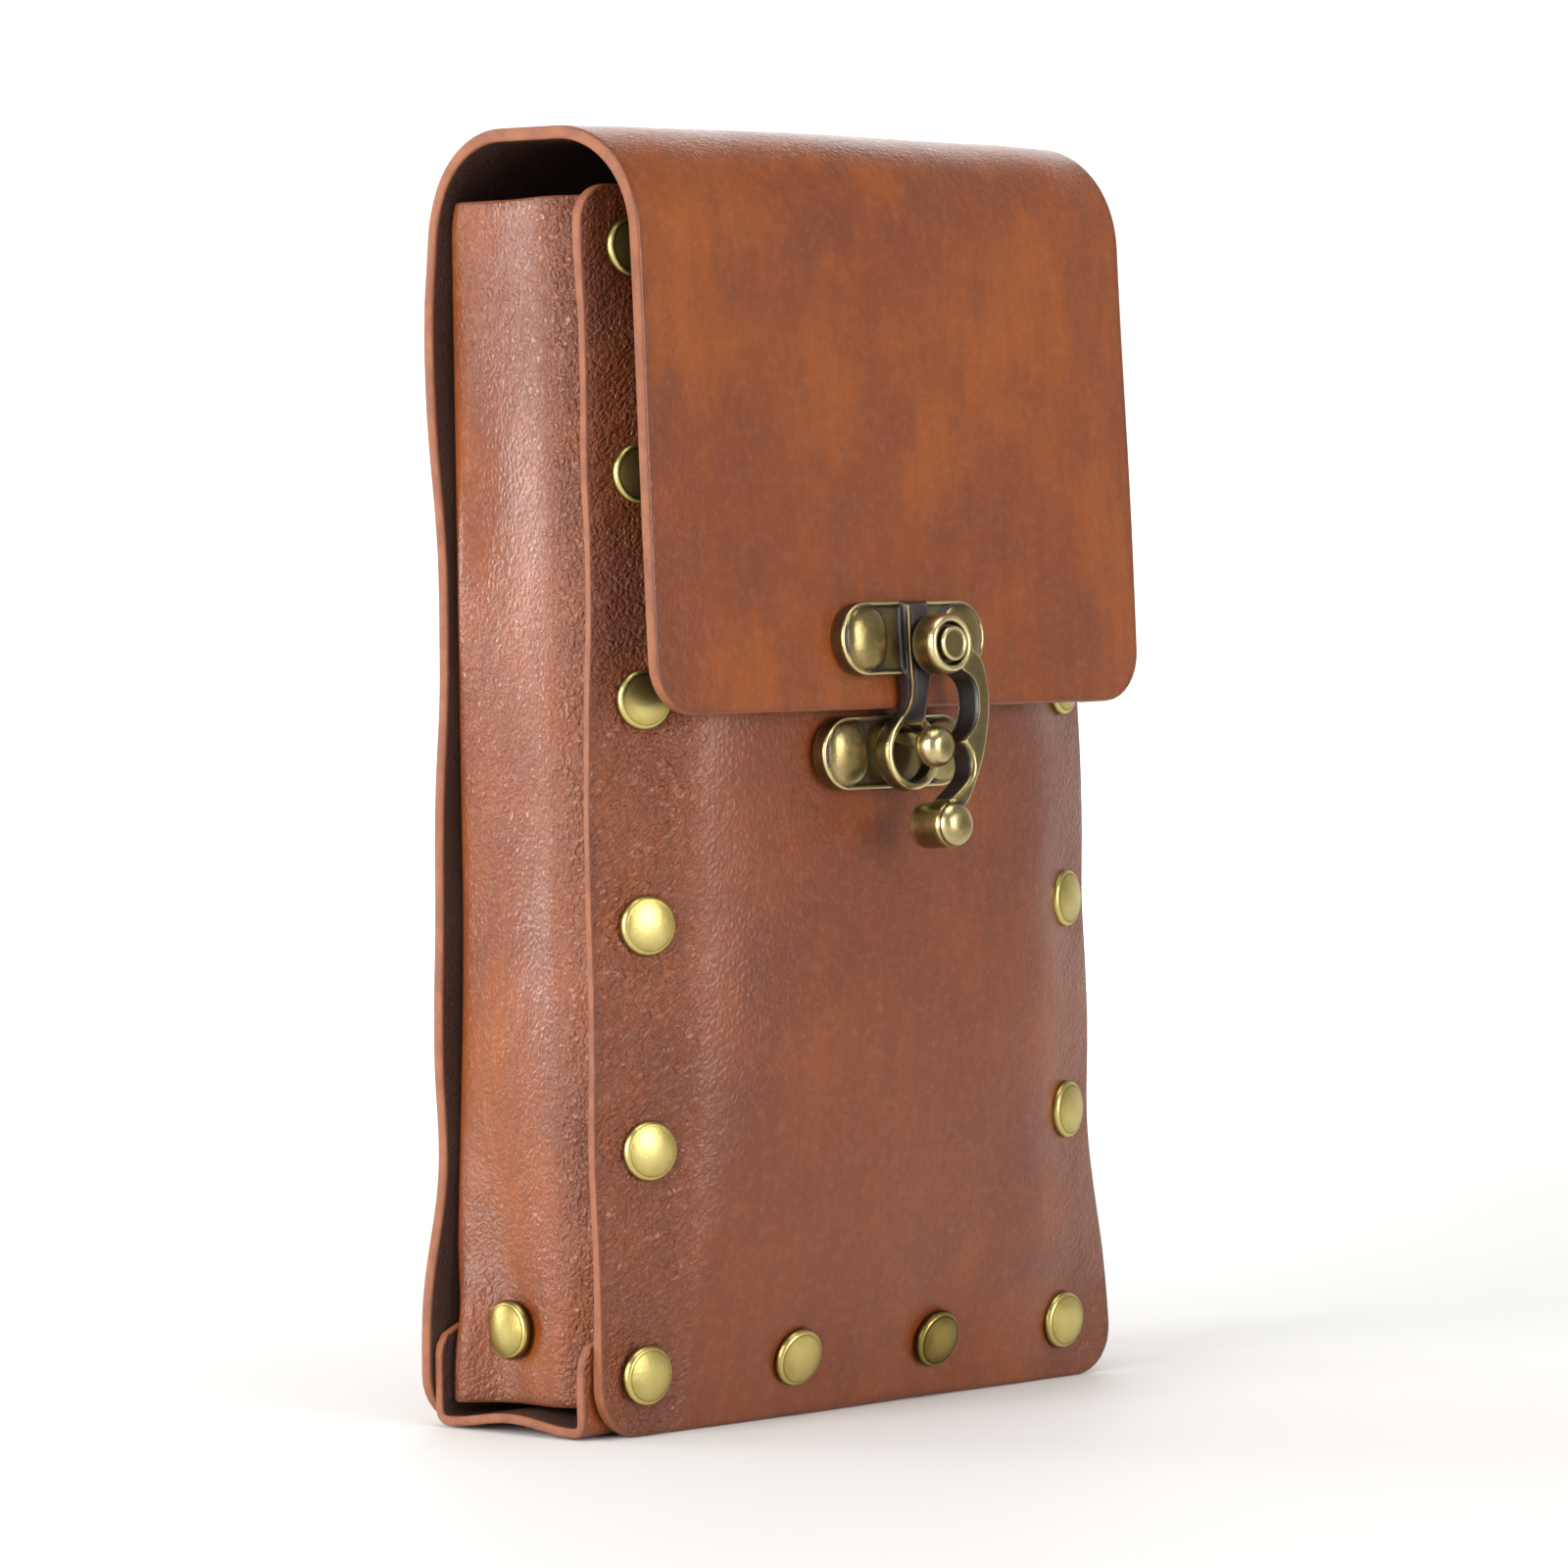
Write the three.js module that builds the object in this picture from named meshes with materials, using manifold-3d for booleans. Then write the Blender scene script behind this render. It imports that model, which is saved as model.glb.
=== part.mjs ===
// A medieval-style leather belt pouch: a flat box of riveted leather with a fold-over flap, a swing clasp
// of antiqued brass and two belt loops behind. Millimetres, +Z up, the front faces -Y, and it stands on
// its foot.

import * as THREE from "three";
import { mergeVertices } from "three/addons/utils/BufferGeometryUtils.js";
import Module from "manifold-3d";

const wasm = await Module();
wasm.setup();

// Leather body
const PANEL_WIDTH = 102; // front and back panels, edge to edge
const BODY_DEPTH = 35; // back panel's outer face to the front panel's edge
const FRONT_HEIGHT = 180; // front panel, foot to mouth
const SHELL = 2; // leather of the two panels, the flap and the belt loops
const GUSSET_WALL = 1.5; // leather of the side and bottom gussets
const FRONT_BULGE = 8.5; // how far the front stands out at its fullest
const CROWN_POWER = 2; // shape of the bulge across the front: 2 is a parabola, more is flatter
const EDGE_WANDER = 5; // how far the cut edges wander out of line
const FOOT_CORNER = 7; // rounding of the panels' corners at the foot
const MOUTH_CORNER = 5; // rounding of the front panel's corners at the mouth
const LAP_GAP = 0.3; // air between leather laid on leather

// Side and bottom gussets
const GUSSET_INSET = 1.7; // side gusset's face, in from the panels' edges
const GUSSET_BEND = 2.6; // outer radius of the gussets' folds
const FLANGE = 16; // width of the folded-in flanges
const MOUTH_DROP = 1.2; // side gussets end this far below the mouth
const BOTTOM_INSET = 1; // bottom gusset's right end, in from the panels' edge line
const BOTTOM_REACH_FRONT = 2.5; // its left end, out past that line at the front
const BOTTOM_REACH_BACK = 4.4; // and at the back
const BOTTOM_RISE = 15; // height of the bottom gusset's flanges
const BOTTOM_BOW = 1.2; // how far its floor arches up
const EASE_RISE = 12; // height over which the side flanges ease out above the bottom gusset

// Flap
const FOLD_RISE = 9; // top of the fold, above the mouth
const BACK_FOLD_RADIUS = 15.5;
const FRONT_FOLD_RADIUS = 17;
const FLAP_DROP = 85; // top of the fold to the flap's hem
const FLAP_CORNER = 7;
const SHOULDER_GAP = 2; // flap to the front panel, just under the fold
const HEM_GAP = 2.7; // flap to the front panel at the hem

// Rivets
const RIVET_INSET = 6.8; // rivet line, in from the panels' side edges
const RIVET_MARGIN = 9; // rivet line, in from the foot and the mouth
const RIVET_CAP = 4.4;
const RIVET_DOME = 1.5;
const RIVET_RIM = 0.45;
const RIVET_SHANK = 1.2;
const RIVET_BACK_CAP = 3;
const RIVET_BACK_DOME = 0.4;
const RIVET_SEAT = 0.25; // air under each cap and round each shank
const CAP_RING = { radius: 0.68, rise: 0.72 }; // middle of a cap's dome, as shares of its radius and height
const COLUMN_RIVETS = 6;
const FOOT_RIVETS = 4;
const SIDE_RIVET_HEIGHT = 14.4;
const SIDE_RIVET_BACK = 5; // how far the side rivets sit behind the middle of the depth

// Belt loops
const LOOP_WIDTH = 18;
const LOOP_SPACING = 56; // centre to centre
const LOOP_HEIGHT = 96; // height of the loops' middle above the foot
const BELT_SLOT = 44; // height of the clear slot for the belt
const BELT_ROOM = 6.5; // depth of the slot
const LOOP_RAMP = 12;
const LOOP_TAB = 14;

// Clasp: the hasp plate is on the flap, the stud plate on the front panel
const PLATE_LENGTH = 30;
const PLATE_HEIGHT = 10.8;
const PLATE_THICK = 2.6;
const PLATE_DOME_RADIUS = 4.6;
const PLATE_DOME_RISE = 1.3;
const DOME_RING = { radius: 0.72, rise: 0.66 }; // middle of a cast dome, as shares of its radius and height
const PLATE_SEAT = 0.3; // air between a plate and its leather
const HASP_ABOVE_HEM = 10.2; // middle of the hasp plate above the hem
const STUD_BELOW_HEM = 6.4; // middle of the stud plate below the hem
const PIVOT_DROP = 1.2; // pivot, below the middle of the hasp plate
const PIVOT_SIDE = 1.7; // pivot, to the right of the middle of the plates
const PIVOT_BASE = 4.3; // top of the pivot's base above the flap
const PIVOT_BASE_RADIUS = 3.6;
const PIN_RADIUS = 1.6;
const PIN_CAP_RADIUS = 2.4;
const PIN_CAP_SINK = 1.1; // depth of the recess in the hook that takes the pin's cap
const PIN_CAP_PROUD = 0.35; // how far the cap stands out of the hook's face
const PIVOT_PLAY = 0.3; // running gap round and along the pivot pin
const HOOK_THICK = 4.2;
const BOSS_RADIUS = 4.4;
const BOSS_PROUD = 0.1; // how far the boss stands out of the hook's face
const KNOB_RADIUS = 3.3;
const KNOB_DROP = 26.4; // knob, below the pivot
const KNOB_SIDE = -1.2; // knob, beside the pivot
const KNOB_BACK = 2.4; // how far the knob stands behind the hook
const KNOB_DOME = 1.4;
const KNOB_PROUD = 0.2; // foot of the knob's dome, above the hook's face
const SPINE_WIDTH = 5;
const SPINE_RISE = 3.9; // face of the spine above the flap
const SPINE_STEP = 2.6; // its height where it crosses the hem
const SPINE_SLOPE = 3; // length of the slope from the one to the other
const RING_OUTER = 5.6;
const RING_INNER = 4.1;
const RING_THICK = 3;
const RING_DROP = 15.6; // ring, below the pivot
const RING_SINK = 1.2; // how far the back of the ring lies behind the face of the flap
const BALL_RADIUS = 2.8;
const BALL_FLATNESS = 0.85; // its depth, as a share of its width
const BALL_RISE = 0.8; // ball, above the middle of the stud plate
const BALL_REACH = 10.8; // ball, out from the front panel
const NECK_SIDE = 2; // width and height of the stud's square neck
const NECK_ROOT = 2.1; // root of the neck, above the middle of the stud plate
const BITE = 0.2; // how far the joined parts of a casting reach into each other

// Soft outline of the body, one row for each tenth of the height, foot first. crown is a share of
// FRONT_BULGE; the other columns are shares of EDGE_WANDER, outwards, for each panel's left and right edge.
const OUTLINE = [
  { crown: 0.0, frontLeft: 0.2, frontRight: 1.0, backLeft: 1.0, backRight: 0.8 },
  { crown: 0.5, frontLeft: 0.26, frontRight: 1.0, backLeft: 0.92, backRight: 0.7 },
  { crown: 0.8, frontLeft: 0.18, frontRight: 0.3, backLeft: 0.26, backRight: 0.2 },
  { crown: 0.95, frontLeft: 0.08, frontRight: 0.3, backLeft: 0.32, backRight: 0.1 },
  { crown: 1.0, frontLeft: 0.0, frontRight: 0.05, backLeft: 0.22, backRight: 0.0 },
  { crown: 1.0, frontLeft: 0.0, frontRight: 0.0, backLeft: 0.1, backRight: 0.1 },
  { crown: 0.98, frontLeft: -0.14, frontRight: 0.0, backLeft: -0.12, backRight: 0.0 },
  { crown: 0.92, frontLeft: -0.14, frontRight: 0.0, backLeft: -0.18, backRight: -0.1 },
  { crown: 0.82, frontLeft: 0.04, frontRight: 0.0, backLeft: 0.12, backRight: 0.0 },
  { crown: 0.68, frontLeft: 0.24, frontRight: 0.1, backLeft: 0.2, backRight: 0.1 },
  { crown: 0.28, frontLeft: 0.4, frontRight: 0.2, backLeft: -0.04, backRight: -0.1 },
];

// Hook seen from the front, pivot at 0,0: side and drop are shares of KNOB_DROP, on its outer and inner line.
const HOOK_OUTER = [
  { side: 0.16, drop: 0.02 },
  { side: 0.25, drop: 0.1 },
  { side: 0.29, drop: 0.3 },
  { side: 0.26, drop: 0.5 },
  { side: 0.2, drop: 0.68 },
  { side: 0.1, drop: 0.86 },
];
const HOOK_UPPER_HOLLOW = [
  { side: 0.05, drop: 0.14 },
  { side: 0.16, drop: 0.21 },
  { side: 0.19, drop: 0.33 },
  { side: 0.15, drop: 0.46 },
  { side: 0.05, drop: 0.545 },
];
const HOOK_LOWER_HOLLOW = [
  { side: 0.05, drop: 0.545 },
  { side: 0.115, drop: 0.63 },
  { side: 0.1, drop: 0.74 },
  { side: -0.06, drop: 0.86 },
];

const LEATHER = { color: 0x8a4f35, roughness: 0.5, metalness: 0 };
const BRASS = { color: 0x8d7a45, roughness: 0.32, metalness: 1 };

const BODY_ROWS = 14;
const BODY_COLUMNS = 8;
const SIDES_OF_A_RIVET = 9;
const SIDES_OF_A_HOLE = 6;
const SIDES_OF_A_CIRCLE = 20;

const halfWidth = PANEL_WIDTH / 2;
const halfDepth = BODY_DEPTH / 2;
const gussetFace = halfWidth - GUSSET_INSET;
const foldTop = FRONT_HEIGHT + FOLD_RISE;
const foldStart = foldTop - BACK_FOLD_RADIUS;
const hem = foldTop - FLAP_DROP;

const pouch = new THREE.Group();

// Adds one named piece.
function addPiece(name, geometry, finish, parent = pouch) {
  const material = new THREE.MeshStandardMaterial(finish);
  const mesh = new THREE.Mesh(geometry, material);
  mesh.name = name;
  parent.add(mesh);
  return mesh;
}

// A closed geometry as a solid that can be joined and cut.
function solidOf(geometry) {
  const bare = geometry.index ? geometry.toNonIndexed() : geometry.clone();
  bare.deleteAttribute("normal");
  bare.deleteAttribute("uv");
  const merged = mergeVertices(bare, 1e-3);
  return new wasm.Manifold(
    new wasm.Mesh({
      numProp: 3,
      vertProperties: merged.attributes.position.array,
      triVerts: new Uint32Array(merged.index.array),
    }),
  );
}

function geometryOf(solid) {
  const mesh = solid.getMesh();
  const geometry = new THREE.BufferGeometry();
  const stride = mesh.numProp;
  const positions = new Float32Array(mesh.numVert * 3);
  for (let i = 0; i < mesh.numVert; i++)
    for (let k = 0; k < 3; k++) positions[3 * i + k] = mesh.vertProperties[stride * i + k];
  geometry.setAttribute("position", new THREE.BufferAttribute(positions, 3));
  geometry.setIndex(new THREE.BufferAttribute(new Uint32Array(mesh.triVerts), 1));
  return geometry;
}

// Cuts every tool out of the geometry.
function drilled(geometry, tools) {
  let solid = solidOf(geometry);
  for (const tool of tools) solid = solid.subtract(solidOf(tool));
  return geometryOf(solid);
}

function joined(geometries) {
  return geometryOf(geometries.map(solidOf).reduce((whole, next) => whole.add(next)));
}

const blend = (a, b, share) => a + (b - a) * share;
const smooth = (share) => {
  const s = Math.min(1, Math.max(0, share));
  return s * s * (3 - 2 * s);
};
const steps = (from, to, count) => Array.from({ length: count + 1 }, (_, i) => blend(from, to, i / count));

// Heights and widths that all the leather pieces share, so that their facets lie along one another.
const bodyHeights = steps(0, FRONT_HEIGHT, BODY_ROWS);
const bodyWidths = steps(-halfWidth, halfWidth, BODY_COLUMNS);
const between = (stations, low, high) =>
  [low, ...stations.filter((at) => at > low + 1 && at < high - 1), high];
const heightsBetween = (low, high) => between(bodyHeights, low, high);
const widthsBetween = (low, high) => between(bodyWidths, low, high);

// Straight lines through a table of samples that are evenly spaced from 0 to 1, and on beyond its ends.
function polyline(samples, share) {
  const last = samples.length - 1;
  const row = Math.min(last - 1, Math.max(0, Math.floor(share * last)));
  return blend(samples[row], samples[row + 1], share * last - row);
}

// One column of OUTLINE as a function of height: a smooth line, straight between the shared heights.
function outlineColumn(column) {
  const line = new THREE.SplineCurve(OUTLINE.map((row, i) => new THREE.Vector2(i, row[column])));
  const samples = bodyHeights.map((z) => line.getPoint(z / FRONT_HEIGHT).y);
  return (z) => polyline(samples, Math.min(1, Math.max(0, z / FRONT_HEIGHT)));
}
const crown = outlineColumn("crown");
const wander = {
  frontLeft: outlineColumn("frontLeft"),
  frontRight: outlineColumn("frontRight"),
  backLeft: outlineColumn("backLeft"),
  backRight: outlineColumn("backRight"),
};

// How far the front panel's outer face stands out from the plane of its edges.
const across = bodyWidths.map((x) => 1 - Math.abs(x / halfWidth) ** CROWN_POWER);
const bulge = (x, z) => FRONT_BULGE * crown(z) * polyline(across, (x + halfWidth) / PANEL_WIDTH);
const frontFace = (x, z) => -halfDepth - bulge(x, z);
const backFace = () => halfDepth;

// Width lost to a rounded corner at a distance from the end of a strip.
const cornerLoss = (distance, radius) =>
  distance >= radius ? 0 : radius - Math.sqrt(radius ** 2 - (radius - distance) ** 2);
const cornerSteps = (radius, count) =>
  steps(0, Math.PI / 2, count).map((angle) => radius * (1 - Math.cos(angle)));

// Whether a four-cornered facet folds outwards, not inwards, along the line from a to c.
function isRidge(a, b, c, d) {
  const outward = c.clone().sub(a).cross(d.clone().sub(b));
  return a.clone().add(c).sub(b).sub(d).dot(outward) > -1e-6;
}

// A wall of even thickness behind a grid of points, whose row direction x column direction faces out.
function wall(grid, thickness) {
  const rows = grid.length;
  const columns = grid[0].length;
  const positions = [];
  const inner = [];
  for (let i = 0; i < rows; i++)
    for (let j = 0; j < columns; j++) {
      const alongRows = grid[Math.min(i + 1, rows - 1)][j].clone().sub(grid[Math.max(i - 1, 0)][j]);
      const alongColumns = grid[i][Math.min(j + 1, columns - 1)].clone().sub(grid[i][Math.max(j - 1, 0)]);
      const outward = alongRows.cross(alongColumns).normalize();
      positions.push(...grid[i][j].toArray());
      inner.push(...grid[i][j].clone().addScaledVector(outward, -thickness).toArray());
    }
  positions.push(...inner);
  const front = (i, j) => i * columns + j;
  const back = (i, j) => rows * columns + front(i, j);
  const index = [];
  const quad = (a, b, c, d) => index.push(a, b, c, a, c, d);
  for (let i = 0; i + 1 < rows; i++)
    for (let j = 0; j + 1 < columns; j++) {
      const outside = [front(i, j), front(i + 1, j), front(i + 1, j + 1), front(i, j + 1)];
      const inside = [back(i, j), back(i, j + 1), back(i + 1, j + 1), back(i + 1, j)];
      if (isRidge(grid[i][j], grid[i + 1][j], grid[i + 1][j + 1], grid[i][j + 1])) {
        quad(...outside);
        quad(...inside);
      } else {
        quad(...outside.slice(1), outside[0]);
        quad(...inside.slice(1), inside[0]);
      }
    }
  for (let i = 0; i + 1 < rows; i++) {
    quad(front(i, 0), back(i, 0), back(i + 1, 0), front(i + 1, 0));
    quad(front(i + 1, columns - 1), back(i + 1, columns - 1), back(i, columns - 1), front(i, columns - 1));
  }
  for (let j = 0; j + 1 < columns; j++) {
    quad(front(0, j + 1), back(0, j + 1), back(0, j), front(0, j));
    quad(front(rows - 1, j), back(rows - 1, j), back(rows - 1, j + 1), front(rows - 1, j + 1));
  }
  const geometry = new THREE.BufferGeometry();
  geometry.setAttribute("position", new THREE.Float32BufferAttribute(positions, 3));
  geometry.setIndex(index);
  return geometry;
}

// Turns a geometry made along +Y so that it stands at a point along a direction.
function placed(geometry, point, direction) {
  const turn = new THREE.Quaternion().setFromUnitVectors(new THREE.Vector3(0, 1, 0), direction);
  return geometry.applyMatrix4(new THREE.Matrix4().compose(point, turn, new THREE.Vector3(1, 1, 1)));
}

// Outward direction of the front panel at a point.
function frontNormal(x, z) {
  const step = 0.5;
  const across = (bulge(x + step, z) - bulge(x - step, z)) / (2 * step);
  const up = (bulge(x, z + step) - bulge(x, z - step)) / (2 * step);
  return new THREE.Vector3(-across, -1, -up).normalize();
}

// A double-cap rivet, its outer cap's seat at 0 and its shank running down -Y through the grip.
function rivetGeometry(grip) {
  const profile = [
    [0, -grip - RIVET_SEAT - RIVET_RIM - RIVET_BACK_DOME],
    [RIVET_BACK_CAP, -grip - RIVET_SEAT - RIVET_RIM],
    [RIVET_BACK_CAP, -grip - RIVET_SEAT],
    [RIVET_SHANK, -grip - RIVET_SEAT],
    [RIVET_SHANK, RIVET_SEAT],
    [RIVET_CAP, RIVET_SEAT],
    [RIVET_CAP, RIVET_SEAT + RIVET_RIM],
    [RIVET_CAP * CAP_RING.radius, RIVET_SEAT + RIVET_RIM + RIVET_DOME * CAP_RING.rise],
    [0, RIVET_SEAT + RIVET_RIM + RIVET_DOME],
  ];
  return new THREE.LatheGeometry(profile.map(([x, y]) => new THREE.Vector2(x, y)), SIDES_OF_A_RIVET);
}

// The hole that a rivet's shank passes through.
function rivetHole(rivet) {
  const radius = RIVET_SHANK + RIVET_SEAT;
  const hole = new THREE.CylinderGeometry(radius, radius, 4 * rivet.grip + 8, SIDES_OF_A_HOLE);
  return placed(hole, rivet.point, rivet.direction);
}

// Every rivet: its name, seat, outward direction and grip.
const twoLayers = SHELL + LAP_GAP + GUSSET_WALL;
const threeLayers = twoLayers + LAP_GAP + GUSSET_WALL;
const rivetLine = halfWidth - RIVET_INSET;
const rivetPitch = (FRONT_HEIGHT - 2 * RIVET_MARGIN) / (COLUMN_RIVETS - 1);
const footPitch = (2 * rivetLine) / (FOOT_RIVETS - 1);

function panelRivets(side, face, normal) {
  const rivets = [];
  for (const [hand, x] of [["left", -rivetLine], ["right", rivetLine]])
    for (let i = 0; i < COLUMN_RIVETS; i++) {
      const z = RIVET_MARGIN + i * rivetPitch;
      const grip = i === 0 ? threeLayers : twoLayers + flangeEase(z);
      rivets.push({ name: `${side}_rivet_${hand}_${i + 1}`, x, z, grip });
    }
  for (let i = 1; i < FOOT_RIVETS - 1; i++) {
    const x = -rivetLine + i * footPitch;
    rivets.push({ name: `${side}_rivet_foot_${i}`, x, z: RIVET_MARGIN, grip: twoLayers });
  }
  return rivets.map((rivet) => ({
    ...rivet,
    point: new THREE.Vector3(rivet.x, face(rivet.x, rivet.z), rivet.z),
    direction: normal(rivet.x, rivet.z),
  }));
}

// Extra depth of the side flanges where they pass behind the bottom gusset's flanges.
const flangeEase = (z) => (GUSSET_WALL + LAP_GAP) * (1 - smooth((z - BOTTOM_RISE) / EASE_RISE));

const behind = new THREE.Vector3(0, 1, 0);
const frontRivets = panelRivets("front", frontFace, frontNormal);
const backRivets = panelRivets("back", backFace, () => behind);
const sideRivets = [["left", -1], ["right", 1]].map(([hand, way]) => ({
  name: `side_rivet_${hand}`,
  point: new THREE.Vector3(way * gussetFace, SIDE_RIVET_BACK, SIDE_RIVET_HEIGHT),
  direction: new THREE.Vector3(way, 0, 0),
  grip: GUSSET_WALL,
}));

// Front panel: a crowned sheet, wider where its edges wander.
function frontPanel() {
  const heights = [
    ...cornerSteps(FOOT_CORNER, 4),
    ...heightsBetween(FOOT_CORNER, FRONT_HEIGHT - MOUTH_CORNER).slice(1),
    ...cornerSteps(MOUTH_CORNER, 3).reverse().slice(1).map((d) => FRONT_HEIGHT - d),
  ];
  const grid = heights.map((z) => {
    const loss = cornerLoss(z, FOOT_CORNER) + cornerLoss(FRONT_HEIGHT - z, MOUTH_CORNER);
    const left = -halfWidth - EDGE_WANDER * wander.frontLeft(z) + loss;
    const right = halfWidth + EDGE_WANDER * wander.frontRight(z) - loss;
    const widths = [left, ...bodyWidths.slice(1, -1), right];
    return widths.map((x) => new THREE.Vector3(x, frontFace(x, z), z)).reverse();
  });
  return wall(grid, SHELL);
}

// Back panel and flap: one strip that runs up the back, over the fold and down the front to the hem.
const shoulderOut = FRONT_BULGE * crown(0.9 * FRONT_HEIGHT) + SHELL + SHOULDER_GAP;
const hemOut = FRONT_BULGE * crown(hem) + SHELL + HEM_GAP;
const shoulderHeight = foldTop - FRONT_FOLD_RADIUS;
const flapLean = Math.atan2(hemOut - shoulderOut, shoulderHeight - hem);
const shoulderY = -halfDepth - shoulderOut;
const hemY = -halfDepth - hemOut;

function flapLine() {
  const line = new THREE.Path();
  const frontCentreY = shoulderY + FRONT_FOLD_RADIUS * Math.cos(flapLean);
  const frontCentreZ = foldTop - FRONT_FOLD_RADIUS;
  line.moveTo(halfDepth, 0);
  line.lineTo(halfDepth, foldStart);
  line.absarc(halfDepth - BACK_FOLD_RADIUS, foldStart, BACK_FOLD_RADIUS, 0, Math.PI / 2, false);
  line.absarc(frontCentreY, frontCentreZ, FRONT_FOLD_RADIUS, Math.PI / 2, Math.PI - flapLean, false);
  line.lineTo(hemY, hem);
  return line;
}

function backPanelAndFlap() {
  const line = flapLine();
  const length = line.getLength();
  const flapLength = Math.hypot(hemY - shoulderY, shoulderHeight - hem);
  const stations = [
    ...cornerSteps(FOOT_CORNER, 4),
    ...steps(FOOT_CORNER, foldStart, 10).slice(1),
    ...steps(foldStart, length - flapLength, 13).slice(1),
    ...steps(length - flapLength, length - FLAP_CORNER, 4).slice(1),
    ...cornerSteps(FLAP_CORNER, 4).reverse().slice(1).map((d) => length - d),
  ];
  const grid = stations.map((s) => {
    const { x: y, y: z } = line.getPointAt(Math.min(1, s / length));
    const loss = cornerLoss(s, FOOT_CORNER) + cornerLoss(length - s, FLAP_CORNER);
    const onBack = 1 - smooth((s - foldStart) / BACK_FOLD_RADIUS);
    const left = -halfWidth - EDGE_WANDER * wander.backLeft(z) * onBack + loss;
    const right = halfWidth + EDGE_WANDER * wander.backRight(z) * onBack - loss;
    return steps(left, right, 4).map((x) => new THREE.Vector3(x, y, z));
  });
  return wall(grid, SHELL);
}

// Rounds a corner of a section: a point on the curve from before to after that leans to the corner.
const cornerPoint = (before, corner, after, share) => [0, 1].map((k) =>
  before[k] * (1 - share) ** 2 + 2 * corner[k] * share * (1 - share) + after[k] * share ** 2);

// How far the back leans in where it begins to fold over.
const foldLean = (z) => BACK_FOLD_RADIUS - Math.sqrt(BACK_FOLD_RADIUS ** 2 - Math.max(0, z - foldStart) ** 2);

// Side gusset: a channel whose flanges lie inside the two panels. way is -1 on the left and 1 on the right.
function sideGusset(way) {
  const heights = [
    ...heightsBetween(BOTTOM_BOW + GUSSET_WALL + 3 * LAP_GAP, BOTTOM_RISE),
    ...heightsBetween(BOTTOM_RISE, foldStart).slice(1),
    FRONT_HEIGHT - MOUTH_DROP,
  ];
  const flangeEnd = gussetFace - FLANGE;
  const grid = heights.map((z) => {
    const backY = halfDepth - foldLean(z) - SHELL - LAP_GAP - flangeEase(z);
    const frontY = (x) => frontFace(x, z) + SHELL + LAP_GAP + flangeEase(z);
    const section = [
      [flangeEnd, backY],
      ...steps(0, 1, 2).map((share) => cornerPoint(
        [gussetFace - GUSSET_BEND, backY], [gussetFace, backY], [gussetFace, backY - GUSSET_BEND], share)),
      ...steps(0, 1, 2).map((share) => cornerPoint(
        [gussetFace, frontY(gussetFace) + GUSSET_BEND], [gussetFace, frontY(gussetFace)],
        [gussetFace - GUSSET_BEND, frontY(gussetFace - GUSSET_BEND)], share)),
      ...widthsBetween(flangeEnd, gussetFace - GUSSET_BEND).reverse().slice(1).map((x) => [x, frontY(x)]),
    ];
    return section.map(([x, y]) => new THREE.Vector3(way * x, y, z));
  });
  return wall(way > 0 ? grid : grid.map((row) => row.reverse()), GUSSET_WALL);
}

// Bottom gusset: a channel along the foot, its ends open past the side gussets.
function bottomGusset() {
  const leftEnd = (y) =>
    -halfWidth - blend(BOTTOM_REACH_FRONT, BOTTOM_REACH_BACK, (y + halfDepth) / BODY_DEPTH);
  const grid = widthsBetween(-halfWidth - BOTTOM_REACH_FRONT, halfWidth - BOTTOM_INSET).map((x, row) => {
    const backY = halfDepth - SHELL - LAP_GAP;
    const frontY = (z) => frontFace(x, z) + SHELL + LAP_GAP;
    const floor = (share) => LAP_GAP + BOTTOM_BOW * Math.sin(Math.PI * share) ** 2;
    const section = [
      [backY, BOTTOM_RISE],
      ...steps(0, 1, 2).map((share) => cornerPoint(
        [backY, LAP_GAP + GUSSET_BEND], [backY, LAP_GAP], [backY - GUSSET_BEND, LAP_GAP], share)),
      ...steps(0, 1, 4).slice(1, -1).map((share) => [
        blend(backY - GUSSET_BEND, frontY(LAP_GAP) + GUSSET_BEND, share), floor(share)]),
      ...steps(0, 1, 2).map((share) => cornerPoint(
        [frontY(LAP_GAP) + GUSSET_BEND, LAP_GAP], [frontY(LAP_GAP), LAP_GAP],
        [frontY(LAP_GAP + GUSSET_BEND), LAP_GAP + GUSSET_BEND], share)),
      ...heightsBetween(LAP_GAP + GUSSET_BEND, BOTTOM_RISE).slice(1).map((z) => [frontY(z), z]),
    ];
    return section.map(([y, z]) => new THREE.Vector3(row === 0 ? leftEnd(y) : x, y, z));
  });
  return wall(grid, GUSSET_WALL);
}

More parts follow.
